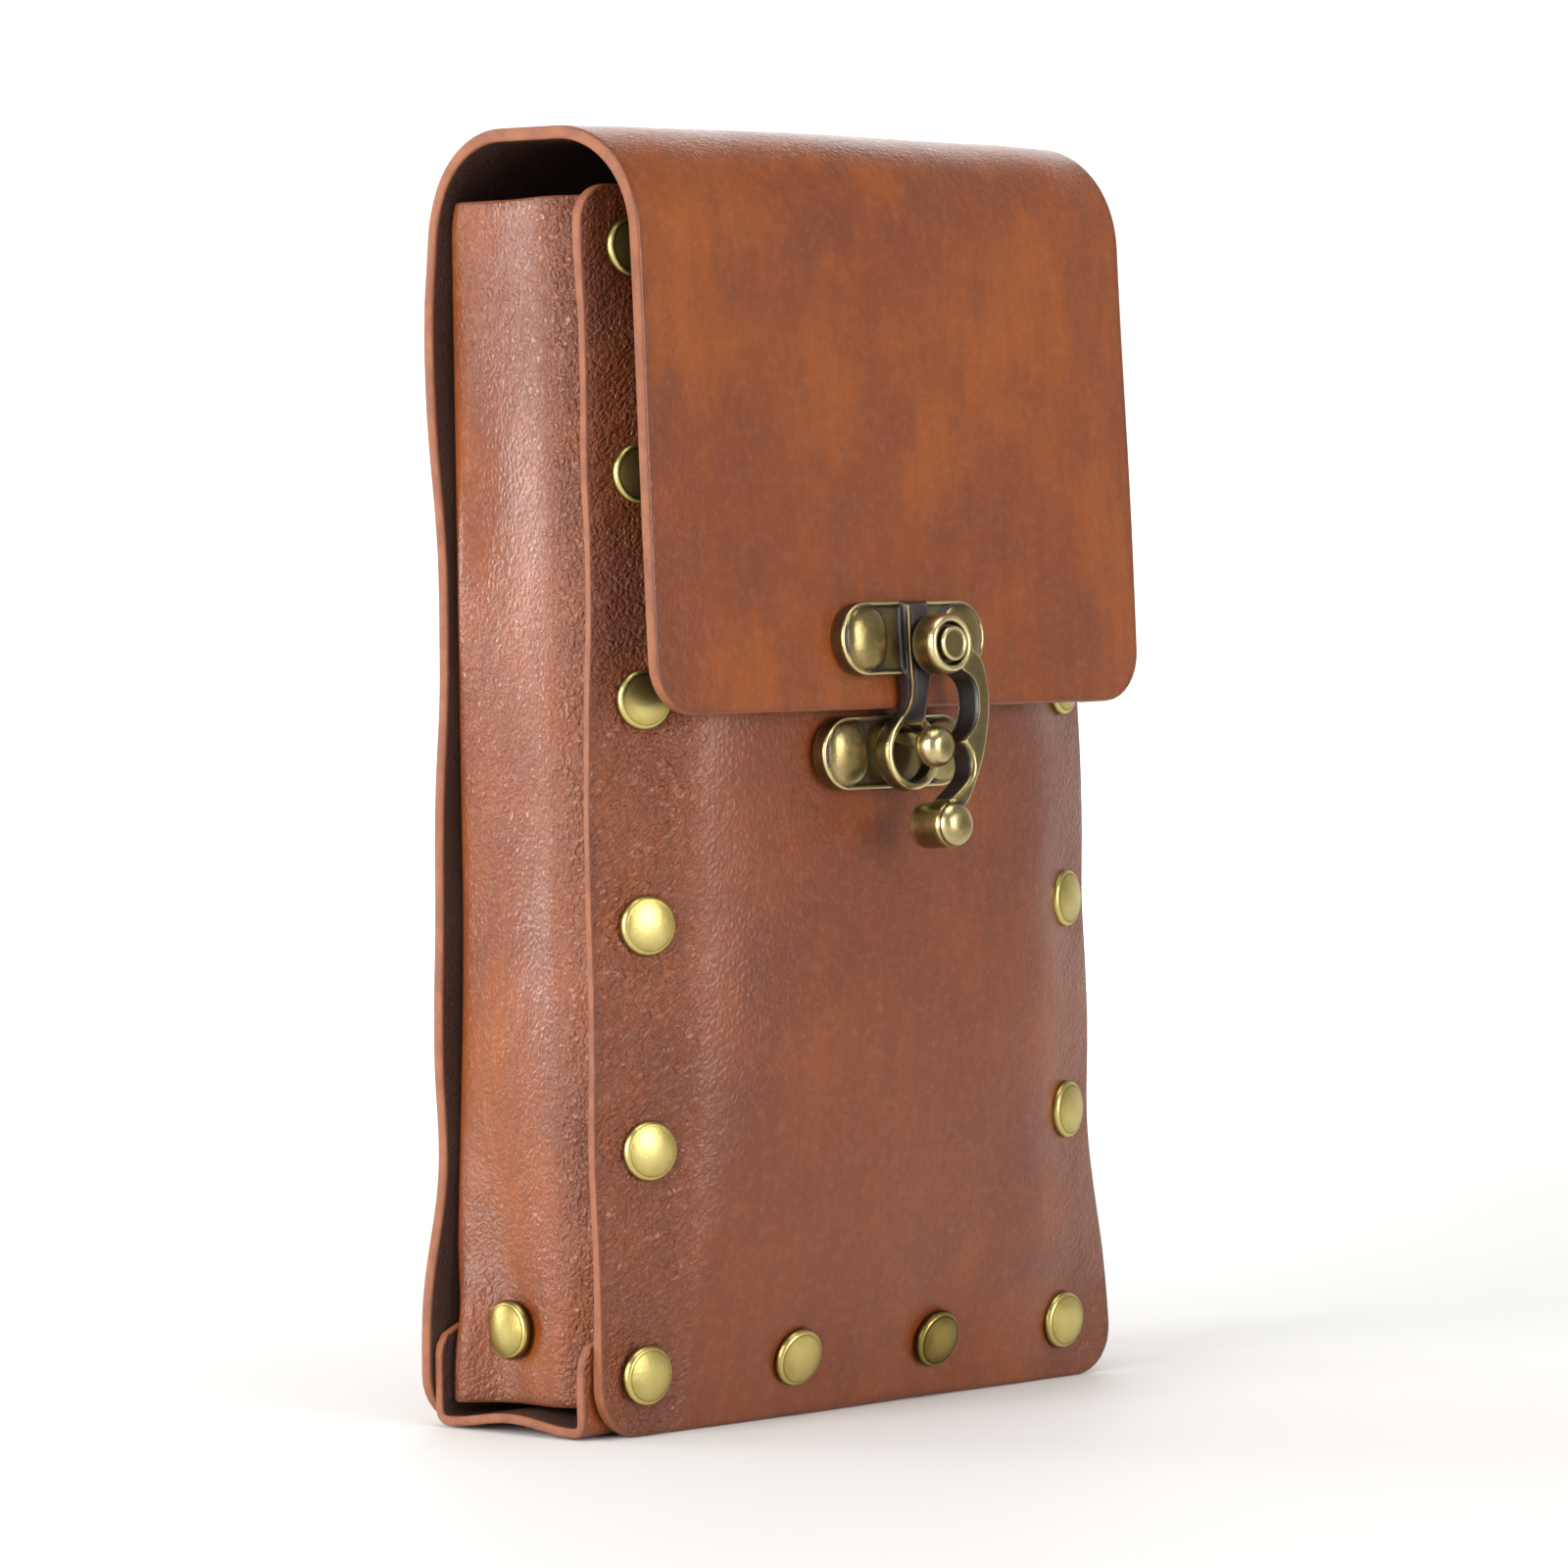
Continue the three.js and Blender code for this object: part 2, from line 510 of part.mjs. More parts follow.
// Belt loops: two straps that stand off the back to let a belt through.
const loopHalf = BELT_SLOT / 2 + LOOP_RAMP + LOOP_TAB;
const loopRivets = [];
const loops = [["left", -1], ["right", 1]].map(([hand, way]) => {
  const middle = (way * LOOP_SPACING) / 2;
  const standOff = (z) => {
    const fromSlot = Math.abs(z - LOOP_HEIGHT) - BELT_SLOT / 2;
    return halfDepth + LAP_GAP + SHELL + (BELT_ROOM - LAP_GAP) * (1 - smooth(fromSlot / LOOP_RAMP));
  };
  const upper = [
    ...steps(0, BELT_SLOT / 2, 2),
    ...steps(BELT_SLOT / 2, BELT_SLOT / 2 + LOOP_RAMP, 6).slice(1),
    loopHalf,
  ];
  const lower = upper.slice(1).reverse().map((h) => -h);
  const heights = [...lower, ...upper].map((h) => LOOP_HEIGHT + h);
  const grid = heights.map((z) =>
    [middle - LOOP_WIDTH / 2, middle + LOOP_WIDTH / 2].map((x) => new THREE.Vector3(x, standOff(z), z)));
  for (const [end, sign] of [["low", -1], ["high", 1]]) {
    const z = LOOP_HEIGHT + sign * (loopHalf - LOOP_TAB / 2);
    loopRivets.push({
      name: `loop_rivet_${hand}_${end}`,
      point: new THREE.Vector3(middle, halfDepth + LAP_GAP + SHELL, z),
      direction: behind,
      grip: 2 * SHELL + LAP_GAP,
    });
  }
  return { name: `belt_loop_${hand}`, geometry: wall(grid, SHELL) };
});

// A flat shape in the plate's own frame: x to the side, y up the plate, extruded outwards along z.
function slab(shape, low, high, curveSegments = 6) {
  const options = { depth: high - low, bevelEnabled: false, curveSegments };
  return new THREE.ExtrudeGeometry(shape, options).translate(0, 0, low);
}

function disc(radius, low, high, x = 0, y = 0) {
  const cylinder = new THREE.CylinderGeometry(radius, radius, high - low, SIDES_OF_A_CIRCLE);
  return cylinder.rotateX(Math.PI / 2).translate(x, y, (low + high) / 2);
}

// A lens-shaped dome on a disc, its base at a level.
function dome(radius, rise, level, x = 0, y = 0) {
  const profile = [
    [0, -BITE],
    [radius, -BITE],
    [radius, 0],
    [radius * DOME_RING.radius, rise * DOME_RING.rise],
    [0, rise],
  ];
  const lens = new THREE.LatheGeometry(profile.map(([r, h]) => new THREE.Vector2(r, h)), SIDES_OF_A_RIVET);
  return lens.rotateX(Math.PI / 2).translate(x, y, level);
}

function plateShape() {
  const end = PLATE_LENGTH / 2 - PLATE_HEIGHT / 2;
  const shape = new THREE.Shape();
  shape.absarc(end, 0, PLATE_HEIGHT / 2, -Math.PI / 2, Math.PI / 2, false);
  shape.absarc(-end, 0, PLATE_HEIGHT / 2, Math.PI / 2, (3 * Math.PI) / 2, false);
  return shape;
}

// A cast plate with a dome at each end, its back PLATE_SEAT off the leather.
function plate(x, y) {
  const top = PLATE_SEAT + PLATE_THICK;
  const domeSide = PLATE_LENGTH / 2 - PLATE_HEIGHT / 2;
  return joined([
    slab(plateShape(), PLATE_SEAT, top).translate(x, y, 0),
    dome(PLATE_DOME_RADIUS, PLATE_DOME_RISE, top, x - domeSide, y),
    dome(PLATE_DOME_RADIUS, PLATE_DOME_RISE, top, x + domeSide, y),
  ]);
}

// Hasp: plate, raised spine, ring and pivot pin in one casting. Its origin is the pivot on the flap's face.
const hookBack = PIVOT_BASE + PIVOT_PLAY;
const hookFront = hookBack + HOOK_THICK;
const capBack = hookFront - PIN_CAP_SINK + PIVOT_PLAY;

function hasp() {
  const hemDrop = PIVOT_DROP - HASP_ABOVE_HEM;
  const spine = new THREE.Shape();
  const top = PIVOT_DROP + PLATE_HEIGHT / 2 - LAP_GAP;
  const inRing = -RING_DROP + RING_INNER;
  spine.moveTo(PLATE_SEAT, top);
  spine.lineTo(PLATE_SEAT, hemDrop - LAP_GAP);
  spine.lineTo(-RING_SINK, hemDrop - LAP_GAP);
  spine.lineTo(-RING_SINK, inRing);
  spine.lineTo(RING_THICK - RING_SINK, inRing);
  spine.lineTo(SPINE_STEP, hemDrop);
  spine.lineTo(SPINE_RISE, hemDrop + SPINE_SLOPE);
  spine.lineTo(SPINE_RISE, top);
  const spineSlab = slab(spine, -SPINE_WIDTH / 2, SPINE_WIDTH / 2);
  spineSlab.rotateY(-Math.PI / 2).translate(-PIVOT_SIDE, 0, 0);
  const ring = new THREE.Shape();
  ring.absarc(0, 0, RING_OUTER, 0, 2 * Math.PI, false);
  const hole = new THREE.Path();
  hole.absarc(0, 0, RING_INNER, 0, 2 * Math.PI, true);
  ring.holes.push(hole);
  return joined([
    plate(-PIVOT_SIDE, PIVOT_DROP),
    spineSlab,
    slab(ring, -RING_SINK, RING_THICK - RING_SINK, 8).translate(-PIVOT_SIDE, -RING_DROP, 0),
    disc(PIVOT_BASE_RADIUS, PLATE_SEAT + BITE, PIVOT_BASE),
    disc(PIN_RADIUS, PIVOT_BASE - BITE, capBack + BITE),
    disc(PIN_CAP_RADIUS, capBack, hookFront + PIN_CAP_PROUD),
  ]);
}

// Swing hook: boss, curved arm with two hollows and a cusp, and the knob that the finger pushes.
function swingHook() {
  const points = (table) =>
    table.map(({ side, drop }) => new THREE.Vector2(side * KNOB_DROP, -drop * KNOB_DROP));
  const arm = new THREE.Shape();
  const outer = points(HOOK_OUTER);
  const lower = points(HOOK_LOWER_HOLLOW).reverse();
  const upper = points(HOOK_UPPER_HOLLOW).reverse();
  const line = (list, count) => new THREE.SplineCurve(list).getPoints(count);
  const outline = [
    new THREE.Vector2(0, 0),
    ...line(upper, 8).reverse(),
    ...line(lower, 6).reverse().slice(1),
    new THREE.Vector2(KNOB_SIDE, -KNOB_DROP),
    ...line(outer, 10).reverse(),
  ];
  arm.setFromPoints(outline.reverse());
  const bore = disc(PIN_RADIUS + PIVOT_PLAY, hookBack - 1, hookFront + 1);
  const recess = disc(PIN_CAP_RADIUS + PIVOT_PLAY, hookFront - PIN_CAP_SINK, hookFront + 1);
  const body = joined([
    slab(arm, hookBack, hookFront),
    disc(BOSS_RADIUS, hookBack, hookFront + BOSS_PROUD),
    disc(KNOB_RADIUS, hookBack - KNOB_BACK, hookFront + KNOB_PROUD, KNOB_SIDE, -KNOB_DROP),
    dome(KNOB_RADIUS, KNOB_DOME, hookFront + KNOB_PROUD, KNOB_SIDE, -KNOB_DROP),
  ]);
  return drilled(body, [bore, recess]);
}

// Stud plate: the plate on the front panel, with a square neck that leans to its ball.
function studPlate() {
  const root = new THREE.Vector3(-PIVOT_SIDE, NECK_ROOT, PLATE_SEAT + PLATE_THICK / 2);
  const tip = new THREE.Vector3(-PIVOT_SIDE, BALL_RISE, BALL_REACH);
  const neckLine = new THREE.LineCurve3(root, tip);
  const half = NECK_SIDE / 2;
  const section = new THREE.Shape();
  section.moveTo(-half, -half);
  section.lineTo(half, -half);
  section.lineTo(half, half);
  section.lineTo(-half, half);
  const neck = new THREE.ExtrudeGeometry(section, { steps: 1, extrudePath: neckLine, bevelEnabled: false });
  const ball = new THREE.SphereGeometry(BALL_RADIUS, 14, 9).scale(1, 1, BALL_FLATNESS);
  return joined([plate(-PIVOT_SIDE, 0), neck, ball.translate(tip.x, tip.y, tip.z)]);
}

// The clasp's two frames: x to the side, y up along the leather, z straight out of it.
const haspHeight = hem + HASP_ABOVE_HEM - PIVOT_DROP;
const haspFrame = new THREE.Group();
haspFrame.position.set(0, hemY + (haspHeight - hem) * Math.tan(flapLean), haspHeight);
haspFrame.rotation.x = Math.PI / 2 - flapLean;
const studHeight = hem - STUD_BELOW_HEM;
const studFrame = new THREE.Group();
studFrame.position.set(0, frontFace(0, studHeight), studHeight);
studFrame.rotation.x = Math.PI / 2;

const throughPanels = [...frontRivets, ...backRivets];
const leatherPieces = [
  { name: "front_panel", geometry: frontPanel(), rivets: frontRivets },
  { name: "back_panel_flap", geometry: backPanelAndFlap(), rivets: [...backRivets, ...loopRivets] },
  { name: "side_gusset_left", geometry: sideGusset(-1), rivets: [...throughPanels, sideRivets[0]] },
  { name: "side_gusset_right", geometry: sideGusset(1), rivets: [...throughPanels, sideRivets[1]] },
  { name: "bottom_gusset", geometry: bottomGusset(), rivets: throughPanels },
  ...loops.map((loop) => ({ ...loop, rivets: loopRivets })),
];

// Each leather piece is punched by the rivets that pass through its own box.
for (const piece of leatherPieces) {
  piece.geometry.computeBoundingBox();
  const reach = piece.geometry.boundingBox;
  const holes = piece.rivets.filter((rivet) => {
    const hole = rivetHole(rivet);
    hole.computeBoundingBox();
    return hole.boundingBox.intersectsBox(reach);
  });
  addPiece(piece.name, drilled(piece.geometry, holes.map(rivetHole)), LEATHER);
}

for (const rivet of [...throughPanels, ...sideRivets, ...loopRivets])
  addPiece(rivet.name, placed(rivetGeometry(rivet.grip), rivet.point, rivet.direction), BRASS);

addPiece("clasp_hasp", hasp(), BRASS, haspFrame);
addPiece("clasp_hook", swingHook(), BRASS, haspFrame);
addPiece("clasp_stud_plate", studPlate(), BRASS, studFrame);
pouch.add(haspFrame, studFrame);

// The origin is the middle of the outline, on the surface that the pouch stands on.
const whole = new THREE.Group();
whole.add(pouch);
whole.updateMatrixWorld(true);
const extent = new THREE.Box3().setFromObject(pouch, true);
pouch.position.set(-(extent.min.x + extent.max.x) / 2, -(extent.min.y + extent.max.y) / 2, -extent.min.z);

export default whole;
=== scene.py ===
"""A medieval-style belt pouch of riveted leather, closed by a swing clasp of antiqued brass.

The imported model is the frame. Each solid of it is replaced by a finer piece made here from the same
measures: sheets of leather with rounded cut edges, domed rivets and three brass castings. Lengths are in
millimetres in the pouch's own frame, with the front facing -Y, and each mesh is turned into metres of the
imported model's frame when it is made.
"""

import logging
import math
from dataclasses import dataclass
from enum import Enum
from typing import Sequence

import bpy
import numpy as np
from mathutils import Matrix, Vector

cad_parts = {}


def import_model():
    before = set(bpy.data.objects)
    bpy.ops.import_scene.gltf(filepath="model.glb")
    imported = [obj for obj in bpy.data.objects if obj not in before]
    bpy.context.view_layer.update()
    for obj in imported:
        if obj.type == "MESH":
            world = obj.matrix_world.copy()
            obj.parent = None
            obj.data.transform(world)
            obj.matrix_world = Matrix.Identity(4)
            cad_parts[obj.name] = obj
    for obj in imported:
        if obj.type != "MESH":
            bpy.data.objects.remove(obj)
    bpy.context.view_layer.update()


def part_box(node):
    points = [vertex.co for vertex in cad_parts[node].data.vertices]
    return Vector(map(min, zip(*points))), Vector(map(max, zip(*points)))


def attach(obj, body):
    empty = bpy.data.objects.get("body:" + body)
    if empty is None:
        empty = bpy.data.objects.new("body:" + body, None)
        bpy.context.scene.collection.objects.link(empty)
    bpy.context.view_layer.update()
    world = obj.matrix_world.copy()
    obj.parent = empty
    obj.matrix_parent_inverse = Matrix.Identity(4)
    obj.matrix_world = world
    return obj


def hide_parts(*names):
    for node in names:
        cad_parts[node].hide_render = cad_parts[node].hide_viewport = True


log = logging.getLogger("pouch")

Points = np.ndarray
Shell = tuple[np.ndarray, list[tuple[int, ...]]]
Outline = tuple[tuple[float, float], ...]
Screen = tuple[int, int, int]

RIM = 0.55  # how far the rounding of a cut edge reaches into the face of the leather
RIM_STEPS = 8
CELL = 1.25  # size of the leather's mesh cells
VOXEL = 0.16  # grain of the castings' mesh
PRESS = 5.5  # reach of the dent round a rivet


class Hand(Enum):
    """Which side of the pouch a piece is on, seen from the front."""

    LEFT = -1
    RIGHT = 1


def smooth(share: np.ndarray | float) -> np.ndarray:
    """A soft step from 0 at 0 to 1 at 1."""
    s = np.clip(share, 0.0, 1.0)
    return s * s * (3 - 2 * s)


def line_through(values: Sequence[float], share: np.ndarray | float) -> np.ndarray:
    """A smooth line through evenly spaced values (Catmull-Rom), held level beyond its ends.

    Args:
        values: The values, first at share 0 and last at share 1.
        share: Where the line is read.

    Returns:
        The line's value at each share.
    """
    table = np.asarray(values, float)
    last = len(table) - 1
    at = np.clip(share, 0.0, 1.0) * last
    row = np.minimum(np.floor(at).astype(int), last - 1)
    t = at - row
    a, b = table[np.maximum(row - 1, 0)], table[row]
    c, d = table[row + 1], table[np.minimum(row + 2, last)]
    return b + 0.5 * t * (c - a + t * (2 * a - 5 * b + 4 * c - d + t * (3 * (b - c) + d - a)))


def swell(x: np.ndarray, z: np.ndarray, seed: int, length: float) -> np.ndarray:
    """Soft random waves of about unit height: the mean of eight sines with random directions and lengths.

    Args:
        x: First coordinate.
        z: Second coordinate.
        seed: Seed of the waves.
        length: Their shortest wavelength; the longest is three times that.

    Returns:
        The height of the waves at each point.
    """
    dice = np.random.default_rng(seed)
    total = np.zeros(np.broadcast(x, z).shape)
    for angle, stretch, phase in dice.uniform((0, 1, 0), (math.pi, 3, 2 * math.pi), (8, 3)):
        along = np.cos(angle) * x + np.sin(angle) * z
        total += np.sin(2 * math.pi * along / (length * stretch) + phase)
    return total / 3


def stations(low: float, high: float, low_corner: float = 0.0, high_corner: float = 0.0) -> np.ndarray:
    """Evenly spaced stations from low to high, closer together where a rounded corner begins or ends."""
    count = 9
    quarter = 1 - np.cos(np.linspace(0, math.pi / 2, count))
    start, end = low + low_corner, high - high_corner
    middle = np.linspace(start, end, max(2, round((end - start) / CELL)) + 1)
    head = low + low_corner * quarter[:-1] if low_corner else np.empty(0)
    tail = high - high_corner * quarter[-2::-1] if high_corner else np.empty(0)
    return np.concatenate((head, middle, tail))


def corner_loss(distance: np.ndarray, radius: float) -> np.ndarray:
    """Width lost to a rounded corner at a distance from the end of a strip."""
    into = np.clip(radius - distance, 0, radius)
    return radius - np.sqrt(radius**2 - into**2)


@dataclass(frozen=True)
class Body:
    """The measures that the pieces share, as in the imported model, and the shapes that follow from them.

    The crown is the soft outline of the front at each tenth of its height, foot first, as shares of the bulge.
    """

    panel_width: float = 102.0
    body_depth: float = 35.0
    front_height: float = 180.0
    shell: float = 2.0
    gusset_wall: float = 1.5
    front_bulge: float = 8.5
    edge_wander: float = 5.0
    border_width: float = 15.0
    border_rise: float = 1.4
    lap_gap: float = 0.3
    gusset_inset: float = 1.7
    gusset_bend: float = 2.6
    bottom_rise: float = 15.0
    bottom_bow: float = 1.2
    ease_rise: float = 12.0
    fold_rise: float = 9.0
    back_fold_radius: float = 15.5
    front_fold_radius: float = 17.0
    flap_drop: float = 85.0
    shoulder_gap: float = 2.0
    hem_gap: float = 2.7
    rivet_inset: float = 6.8
    rivet_margin: float = 9.0
    column_rivets: int = 6
    foot_rivets: int = 4
    crown: tuple[float, ...] = (0.0, 0.5, 0.8, 0.95, 1.0, 1.0, 0.98, 0.92, 0.82, 0.68, 0.28)

    @property
    def half_width(self) -> float:
        """Half the width of the panels."""
        return self.panel_width / 2

    @property
    def half_depth(self) -> float:
        """Half the depth of the body."""
        return self.body_depth / 2

    @property
    def gusset_face(self) -> float:
        """How far out the side gussets' faces are."""
        return self.half_width - self.gusset_inset

    @property
    def fold_top(self) -> float:
        """Height of the top of the fold."""
        return self.front_height + self.fold_rise

    @property
    def hem(self) -> float:
        """Height of the flap's hem."""
        return self.fold_top - self.flap_drop

    @property
    def rivet_line(self) -> float:
        """How far out the rivet columns are."""
        return self.half_width - self.rivet_inset

    @property
    def rivet_pitch(self) -> float:
        """Distance between the rivets of a column."""
        return (self.front_height - 2 * self.rivet_margin) / (self.column_rivets - 1)

    @property
    def foot_pitch(self) -> float:
        """Distance between the rivets along the foot."""
        return 2 * self.rivet_line / (self.foot_rivets - 1)

    @property
    def shoulder_height(self) -> float:
        """Height at which the flap leaves the fold."""
        return self.fold_top - self.front_fold_radius

    @property
    def shoulder_y(self) -> float:
        """Where the flap's face is at that height."""
        return self.over_front(0.9) - self.shoulder_gap

    @property
    def hem_y(self) -> float:
        """Where the flap's face is at the hem."""
        return self.over_front(self.hem / self.front_height) - self.hem_gap

    @property
    def flap_lean(self) -> float:
        """Angle of the flap from the upright."""
        return math.atan2(self.shoulder_y - self.hem_y, self.shoulder_height - self.hem)

    def over_front(self, share: float) -> float:
        """The y of a sheet that lies on the middle of the front panel, at a share of its height."""
        return -self.half_depth - self.front_bulge * float(line_through(self.crown, share)) - self.shell

    def bulge(self, x: np.ndarray, z: np.ndarray) -> np.ndarray:
        """How far the front panel's middle stands out: a parabola across, the crown along its height."""
        crown = line_through(self.crown, np.asarray(z) / self.front_height)
        return self.front_bulge * crown * (1 - (x / self.half_width) ** 2)

    def front_seats(self) -> list[tuple[float, float]]:
        """The x and z of every rivet of the front panel."""
        column = [self.rivet_margin + i * self.rivet_pitch for i in range(self.column_rivets)]
        inner = range(1, self.foot_rivets - 1)
        foot = [(-self.rivet_line + i * self.foot_pitch, self.rivet_margin) for i in inner]
        return [(side * self.rivet_line, z) for side in (-1, 1) for z in column] + foot

    def front_face(self, x: np.ndarray, z: np.ndarray) -> np.ndarray:
        """The y of the front panel's outer face.

        The crowned sheet rises evenly by border_rise more over each border, up to a soft ridge just
        inside the rivets, so that its borders slope more than its middle. It is pressed in by about half
        a millimetre round each rivet and swells a little between.
        """
        out = self.bulge(x, z)
        share = (self.half_width - np.abs(x)) / self.border_width
        ridge = (share + 1 - np.sqrt((share - 1) ** 2 + 0.02)) / 2
        ridge = ridge * (1 - 0.8 * smooth((share - 1.1) / 1.9))
        ridge = ridge * smooth(z / 30) * smooth((self.front_height - z) / 60)
        out = out + self.border_rise * ridge + 0.22 * swell(x, z, 4, 26)
        for rivet_x, rivet_z in self.front_seats():
            away = (x - rivet_x) ** 2 + (z - rivet_z) ** 2
            out = out - 0.7 * np.exp(-away / (2 * PRESS**2))
        return -self.half_depth - out

    def flange_ease(self, z: np.ndarray) -> np.ndarray:
        """Extra depth of the side flanges where they pass behind the bottom gusset's flanges."""
        return (self.gusset_wall + self.lap_gap) * (1 - smooth((z - self.bottom_rise) / self.ease_rise))


@dataclass(frozen=True)
class Place:
    """A flat frame in the pouch: x to the side, y up along the leather, z straight out of it."""

    origin: tuple[float, float, float]
    lean: float

    def put(self, points: Points) -> Points:
        """Points of this frame, in the pouch's frame."""
        c, s = math.cos(self.lean), math.sin(self.lean)
        axes = np.array(((1, 0, 0), (0, s, c), (0, -c, s)))
        return points @ axes + np.array(self.origin)


@dataclass
class Workshop:
    """Turns points in millimetres into pieces of the scene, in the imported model's frame.

    Attributes:
        origin: The pouch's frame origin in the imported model's frame, in metres.
    """

    origin: np.ndarray

    def add(
        self,
        name: str,
        shell: Shell,
        material: bpy.types.Material,
        fields: dict[str, np.ndarray],
        nodes: Sequence[str],
        slot: str,
        body: str = "pouch",
    ) -> bpy.types.Object:
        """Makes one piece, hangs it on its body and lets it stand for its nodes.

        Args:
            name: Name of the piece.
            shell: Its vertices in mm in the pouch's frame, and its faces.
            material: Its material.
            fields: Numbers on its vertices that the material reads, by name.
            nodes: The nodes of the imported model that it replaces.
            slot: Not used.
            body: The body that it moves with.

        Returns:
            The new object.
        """
        points, faces = shell
        mesh = bpy.data.meshes.new(name)
        mesh.from_pydata((points * 0.001 + self.origin).tolist(), [], faces)
        mesh.shade_smooth()
        for field_name, values in fields.items():
            attribute = mesh.attributes.new(field_name, "FLOAT", "POINT")
            attribute.data.foreach_set("value", np.asarray(values, np.float32))
        mesh.materials.append(material)
        piece = bpy.data.objects.new(name, mesh)
        bpy.context.scene.collection.objects.link(piece)
        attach(piece, body)
        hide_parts(*nodes)
        log.info("%s: %d faces", name, len(faces))
        return piece


def quads(a: np.ndarray, b: np.ndarray, c: np.ndarray, d: np.ndarray) -> list[tuple[int, ...]]:
    """Four-cornered faces from four equal arrays of vertex numbers."""
    return [tuple(row) for row in np.stack((a.ravel(), b.ravel(), c.ravel(), d.ravel()), 1).tolist()]


def grid_normals(grid: Points) -> Points:
    """Unit outward directions of a grid of points: row direction x column direction."""
    out = np.cross(np.gradient(grid, axis=0), np.gradient(grid, axis=1))
    return out / np.linalg.norm(out, axis=2, keepdims=True)


def border_distance(grid: Points) -> np.ndarray:
    """Distance of each point of a grid from the nearest end of its row or column, measured along the grid."""
    result = []
    for axis in (0, 1):
        step = np.linalg.norm(np.diff(grid, axis=axis), axis=2)
        lead = np.zeros_like(np.take(step, [0], axis=axis))
        run = np.concatenate((lead, np.cumsum(step, axis=axis)), axis=axis)
        result.append(np.minimum(run, np.take(run, [-1], axis=axis) - run))
    return np.minimum(*result)


def leather_shell(grid: Points, thickness: float) -> tuple[Shell, dict[str, np.ndarray]]:
    """A sheet of even thickness behind a grid of points, with rounded cut edges.

    The rim is a ring of points for each step of an angle from the outer to the inner face. It stands out
    from the border by RIM times a power of the angle's sine, and goes down by half the thickness times
    one minus a power of its cosine, which gives a flat edge with soft corners.

    Args:
        grid: Outer face, rows by columns by 3. Row direction x column direction faces out.
        thickness: Thickness of the leather.

    Returns:
        The closed shell, and the fields edge (1 on the cut edge, 0.5 beside it, fading within 2 mm) and flesh
        (1 on the inner face).
    """
    rows, columns = grid.shape[:2]
    out = grid_normals(grid)
    number = np.arange(rows * columns).reshape(rows, columns)
    loop = np.concatenate((number[0, :-1], number[:-1, -1], number[-1, :0:-1], number[:0:-1, 0]))
    flat, flat_out = grid.reshape(-1, 3), out.reshape(-1, 3)
    border, border_out = flat[loop], flat_out[loop]
    away = np.cross(border_out, np.roll(border, -1, 0) - np.roll(border, 1, 0))
    away /= np.linalg.norm(away, axis=1, keepdims=True)
    angle = np.linspace(0, math.pi, RIM_STEPS + 1)[1:-1]
    reach = RIM * np.sin(angle) ** 0.7
    depth = thickness / 2 * (1 - np.sign(np.cos(angle)) * np.abs(np.cos(angle)) ** 0.7)
    rings = border + away * reach[:, None, None] - border_out * depth[:, None, None]
    inner = flat - flat_out * thickness
    points = np.concatenate((flat, inner, rings.reshape(-1, 3)))

    count, length = rows * columns, len(loop)
    a, b, c, d = number[:-1, :-1], number[1:, :-1], number[1:, 1:], number[:-1, 1:]
    faces = quads(a, b, c, d) + quads(a + count, d + count, c + count, b + count)
    ring = 2 * count + np.arange((RIM_STEPS - 1) * length).reshape(-1, length)
    bands = np.concatenate((loop[None], ring, loop[None] + count))
    after = np.roll(bands, -1, axis=1)
    faces += quads(after[:-1], after[1:], bands[1:], bands[:-1])

    near = np.exp(-((border_distance(grid).ravel() / 0.7) ** 2))
    on_rim = np.repeat(smooth((np.sin(angle) - 0.3) / 0.4), length)
    edge = np.concatenate((0.5 * near, 0.5 * near, 0.5 + 0.5 * on_rim))
    flesh = np.concatenate((np.zeros(count), np.ones(count), np.zeros(ring.size)))
    return (points, faces), {"edge": edge, "flesh": flesh}


def sheet_fields(fields: dict[str, np.ndarray], crease: np.ndarray, dye_and_shade: float) -> dict[str, np.ndarray]:
    """Adds two fields to a sheet's own.

    Args:
        fields: The sheet's fields.
        crease: How creased it is, on its grid. Both faces get it, and the rim gets none.
        dye_and_shade: How dark its leather is, from 0 to 1, partly from dyeing and partly as painted shade.

    Returns:
        All the fields, with crease and the darkening from dyeing and painted shade.
    """
    both = np.concatenate((crease.ravel(), crease.ravel()))
    spare = len(fields["edge"]) - len(both)
    creased = np.concatenate((both, np.zeros(spare)))
    return {**fields, "crease": creased, "dye_and_shade": np.full(len(fields["edge"]), dye_and_shade)}


def between(left: np.ndarray, right: np.ndarray) -> Points:
    """Rows of evenly spaced numbers from left to right, as many as the widest row needs."""
    count = round(float(np.max(np.abs(right - left))) / CELL) + 1
    return left[:, None] + (right - left)[:, None] * np.linspace(0, 1, count)


def bend(before: np.ndarray, corner: np.ndarray, after: np.ndarray, count: int = 9) -> Points:
    """Points of a rounded corner of a section, from before to after, leaning to the corner.

    Args:
        before: Where the rounding starts, rows by 2.
        corner: The corner, rows by 2.
        after: Where it ends, rows by 2.
        count: How many points each row gets.

    Returns:
        Rows by count by 2.
    """
    t = np.linspace(0, 1, count)[None, :, None]
    return before[:, None] * (1 - t) ** 2 + 2 * corner[:, None] * t * (1 - t) + after[:, None] * t**2


def pairs(a: np.ndarray, b: np.ndarray) -> np.ndarray:
    """Two numbers or arrays side by side, as rows by 2 or rows by columns by 2."""
    return np.stack(np.broadcast_arrays(a, b), -1)


